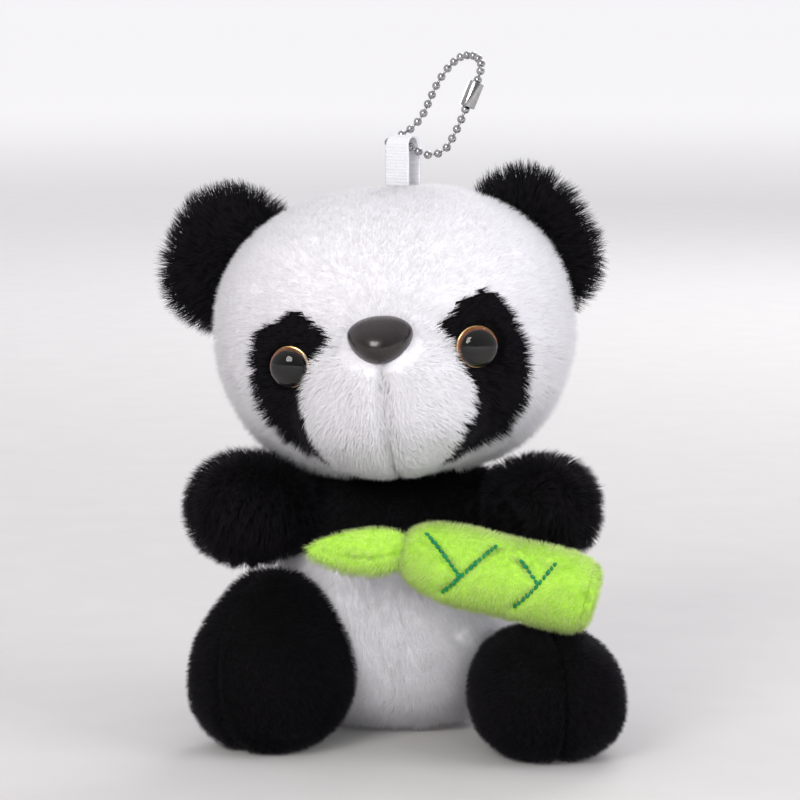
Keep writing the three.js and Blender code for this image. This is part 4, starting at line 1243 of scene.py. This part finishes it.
def closed_curve(points, per_span=24):
    """A smooth closed line through points, spaced by the square roots of their distances."""
    points = np.asarray(points, float)
    count = len(points)
    line = []
    for index in range(count):
        p = [points[(index + k) % count] for k in (-1, 0, 1, 2)]
        steps = [np.linalg.norm(p[k + 1] - p[k]) ** 0.5 for k in range(3)]
        start = (p[1] - p[0]) / steps[0] - (p[2] - p[0]) / (steps[0] + steps[1]) + (p[2] - p[1]) / steps[1]
        end = (p[2] - p[1]) / steps[1] - (p[3] - p[1]) / (steps[1] + steps[2]) + (p[3] - p[2]) / steps[2]
        start, end = start * steps[1], end * steps[1]
        for t in np.arange(per_span) / per_span:
            line.append(
                (2 * t ** 3 - 3 * t ** 2 + 1) * p[1] + (t ** 3 - 2 * t ** 2 + t) * start
                + (3 * t ** 2 - 2 * t ** 3) * p[2] + (t ** 3 - t ** 2) * end)
    return np.array(line)


def build_chain():
    """Hollow balls on short links, joined by a slotted connector."""
    line = closed_curve(np.array(CHAIN_ROUTE) + pivot("chain_swing"))
    looped = np.concatenate([line, line[:1]])
    lengths = np.concatenate([[0], np.cumsum(np.linalg.norm(np.diff(looped, axis=0), axis=1))])
    total = lengths[-1]

    def at(distance):
        return np.array([np.interp(distance % total, lengths, looped[:, k]) for k in range(3)])

    count = int(total / BEAD_PITCH)
    start = CONNECTOR_AT * total
    places = [at(start + (index + 0.5) * BEAD_PITCH) for index in range(count)]
    ball, triangles = BALLS[4]
    beads = []
    for index, place in enumerate(places):
        way = unit(at(start + (index + 0.5) * BEAD_PITCH + 0.3) - place)
        near = np.abs(ball @ way)
        dimple = 1 - 0.05 * np.clip((near - 0.93) / 0.07, 0, 1)
        beads.append((ball * BEAD_RADIUS * dimple[:, None] + place, triangles.tolist()))
    ride(mesh_object("ball_chain_balls", *joined(beads), "steel"), "chain", "steel", "ball_chain")
    sides = 12
    turns = np.linspace(0, 2 * math.pi, sides + 1)[:-1]
    tube = [(k, (k + 1) % sides, sides + (k + 1) % sides, sides + k) for k in range(sides)]
    tube += [tuple(reversed(range(sides))), tuple(range(sides, 2 * sides))]
    links = []
    for first, second in zip(places, places[1:]):
        way = unit(second - first)
        side = unit(np.cross(way, [0.3, 0.5, 0.8]))
        other = np.cross(way, side)
        ring = LINK_RADIUS * (np.cos(turns)[:, None] * side + np.sin(turns)[:, None] * other)
        links.append((np.concatenate([first + ring, second + ring]), tube))
    ride(mesh_object("ball_chain_links", *joined(links), "steel"), "chain", "steel")
    middle = at(start)
    way = unit(at(start + 0.5) - at(start - 0.5))
    end = CONNECTOR_LENGTH / 2
    outer = CONNECTOR_BORE + CONNECTOR_WALL
    profile = [(CONNECTOR_BORE, -end + 0.2), (CONNECTOR_BORE - 0.25, -end)]
    profile += [(outer - 0.25, -end)] + rounded_corner(outer - 0.15, -end + 0.15, 0.15, -90, 4)
    profile += rounded_corner(outer - 0.15, end - 0.15, 0.15, 0, 4) + [(outer - 0.25, end)]
    profile += [(CONNECTOR_BORE - 0.25, end), (CONNECTOR_BORE, end - 0.2)]
    tube = turned("chain_connector_tube", profile, middle, way, "steel", 60, 2 * math.pi - CONNECTOR_SLOT)
    ride(tube, "chain", "steel", "chain_connector")


# ---- The scene ----

add_camera()
add_world()
bpy.context.scene.view_settings.view_transform = "Standard"
for name, lamp in LAMPS.items():
    add_lamp(name, **lamp)
for name, node in frame["nodes"].items():
    if "washer" in name or name == "bamboo_tack_thread":
        node.data.materials.clear()
        node.data.materials.append(materials["washer" if "washer" in name else "thread"])
build_head()
build_torso()
for name, spec in LIMBS.items():
    build_limb(name, spec)
for name, spec in EARS.items():
    build_ear(name, **spec)
build_bamboo()
build_ribbon()
build_chain()
materials["floor"] = floor_material()
corners = [(x * FLOOR_REACH, y * FLOOR_REACH, 0) for x, y in ((-1, -1), (1, -1), (1, 1), (-1, 1))]
floor = mesh_object("floor", corners, [(0, 1, 2, 3)], "floor")

bpy.context.view_layer.update()
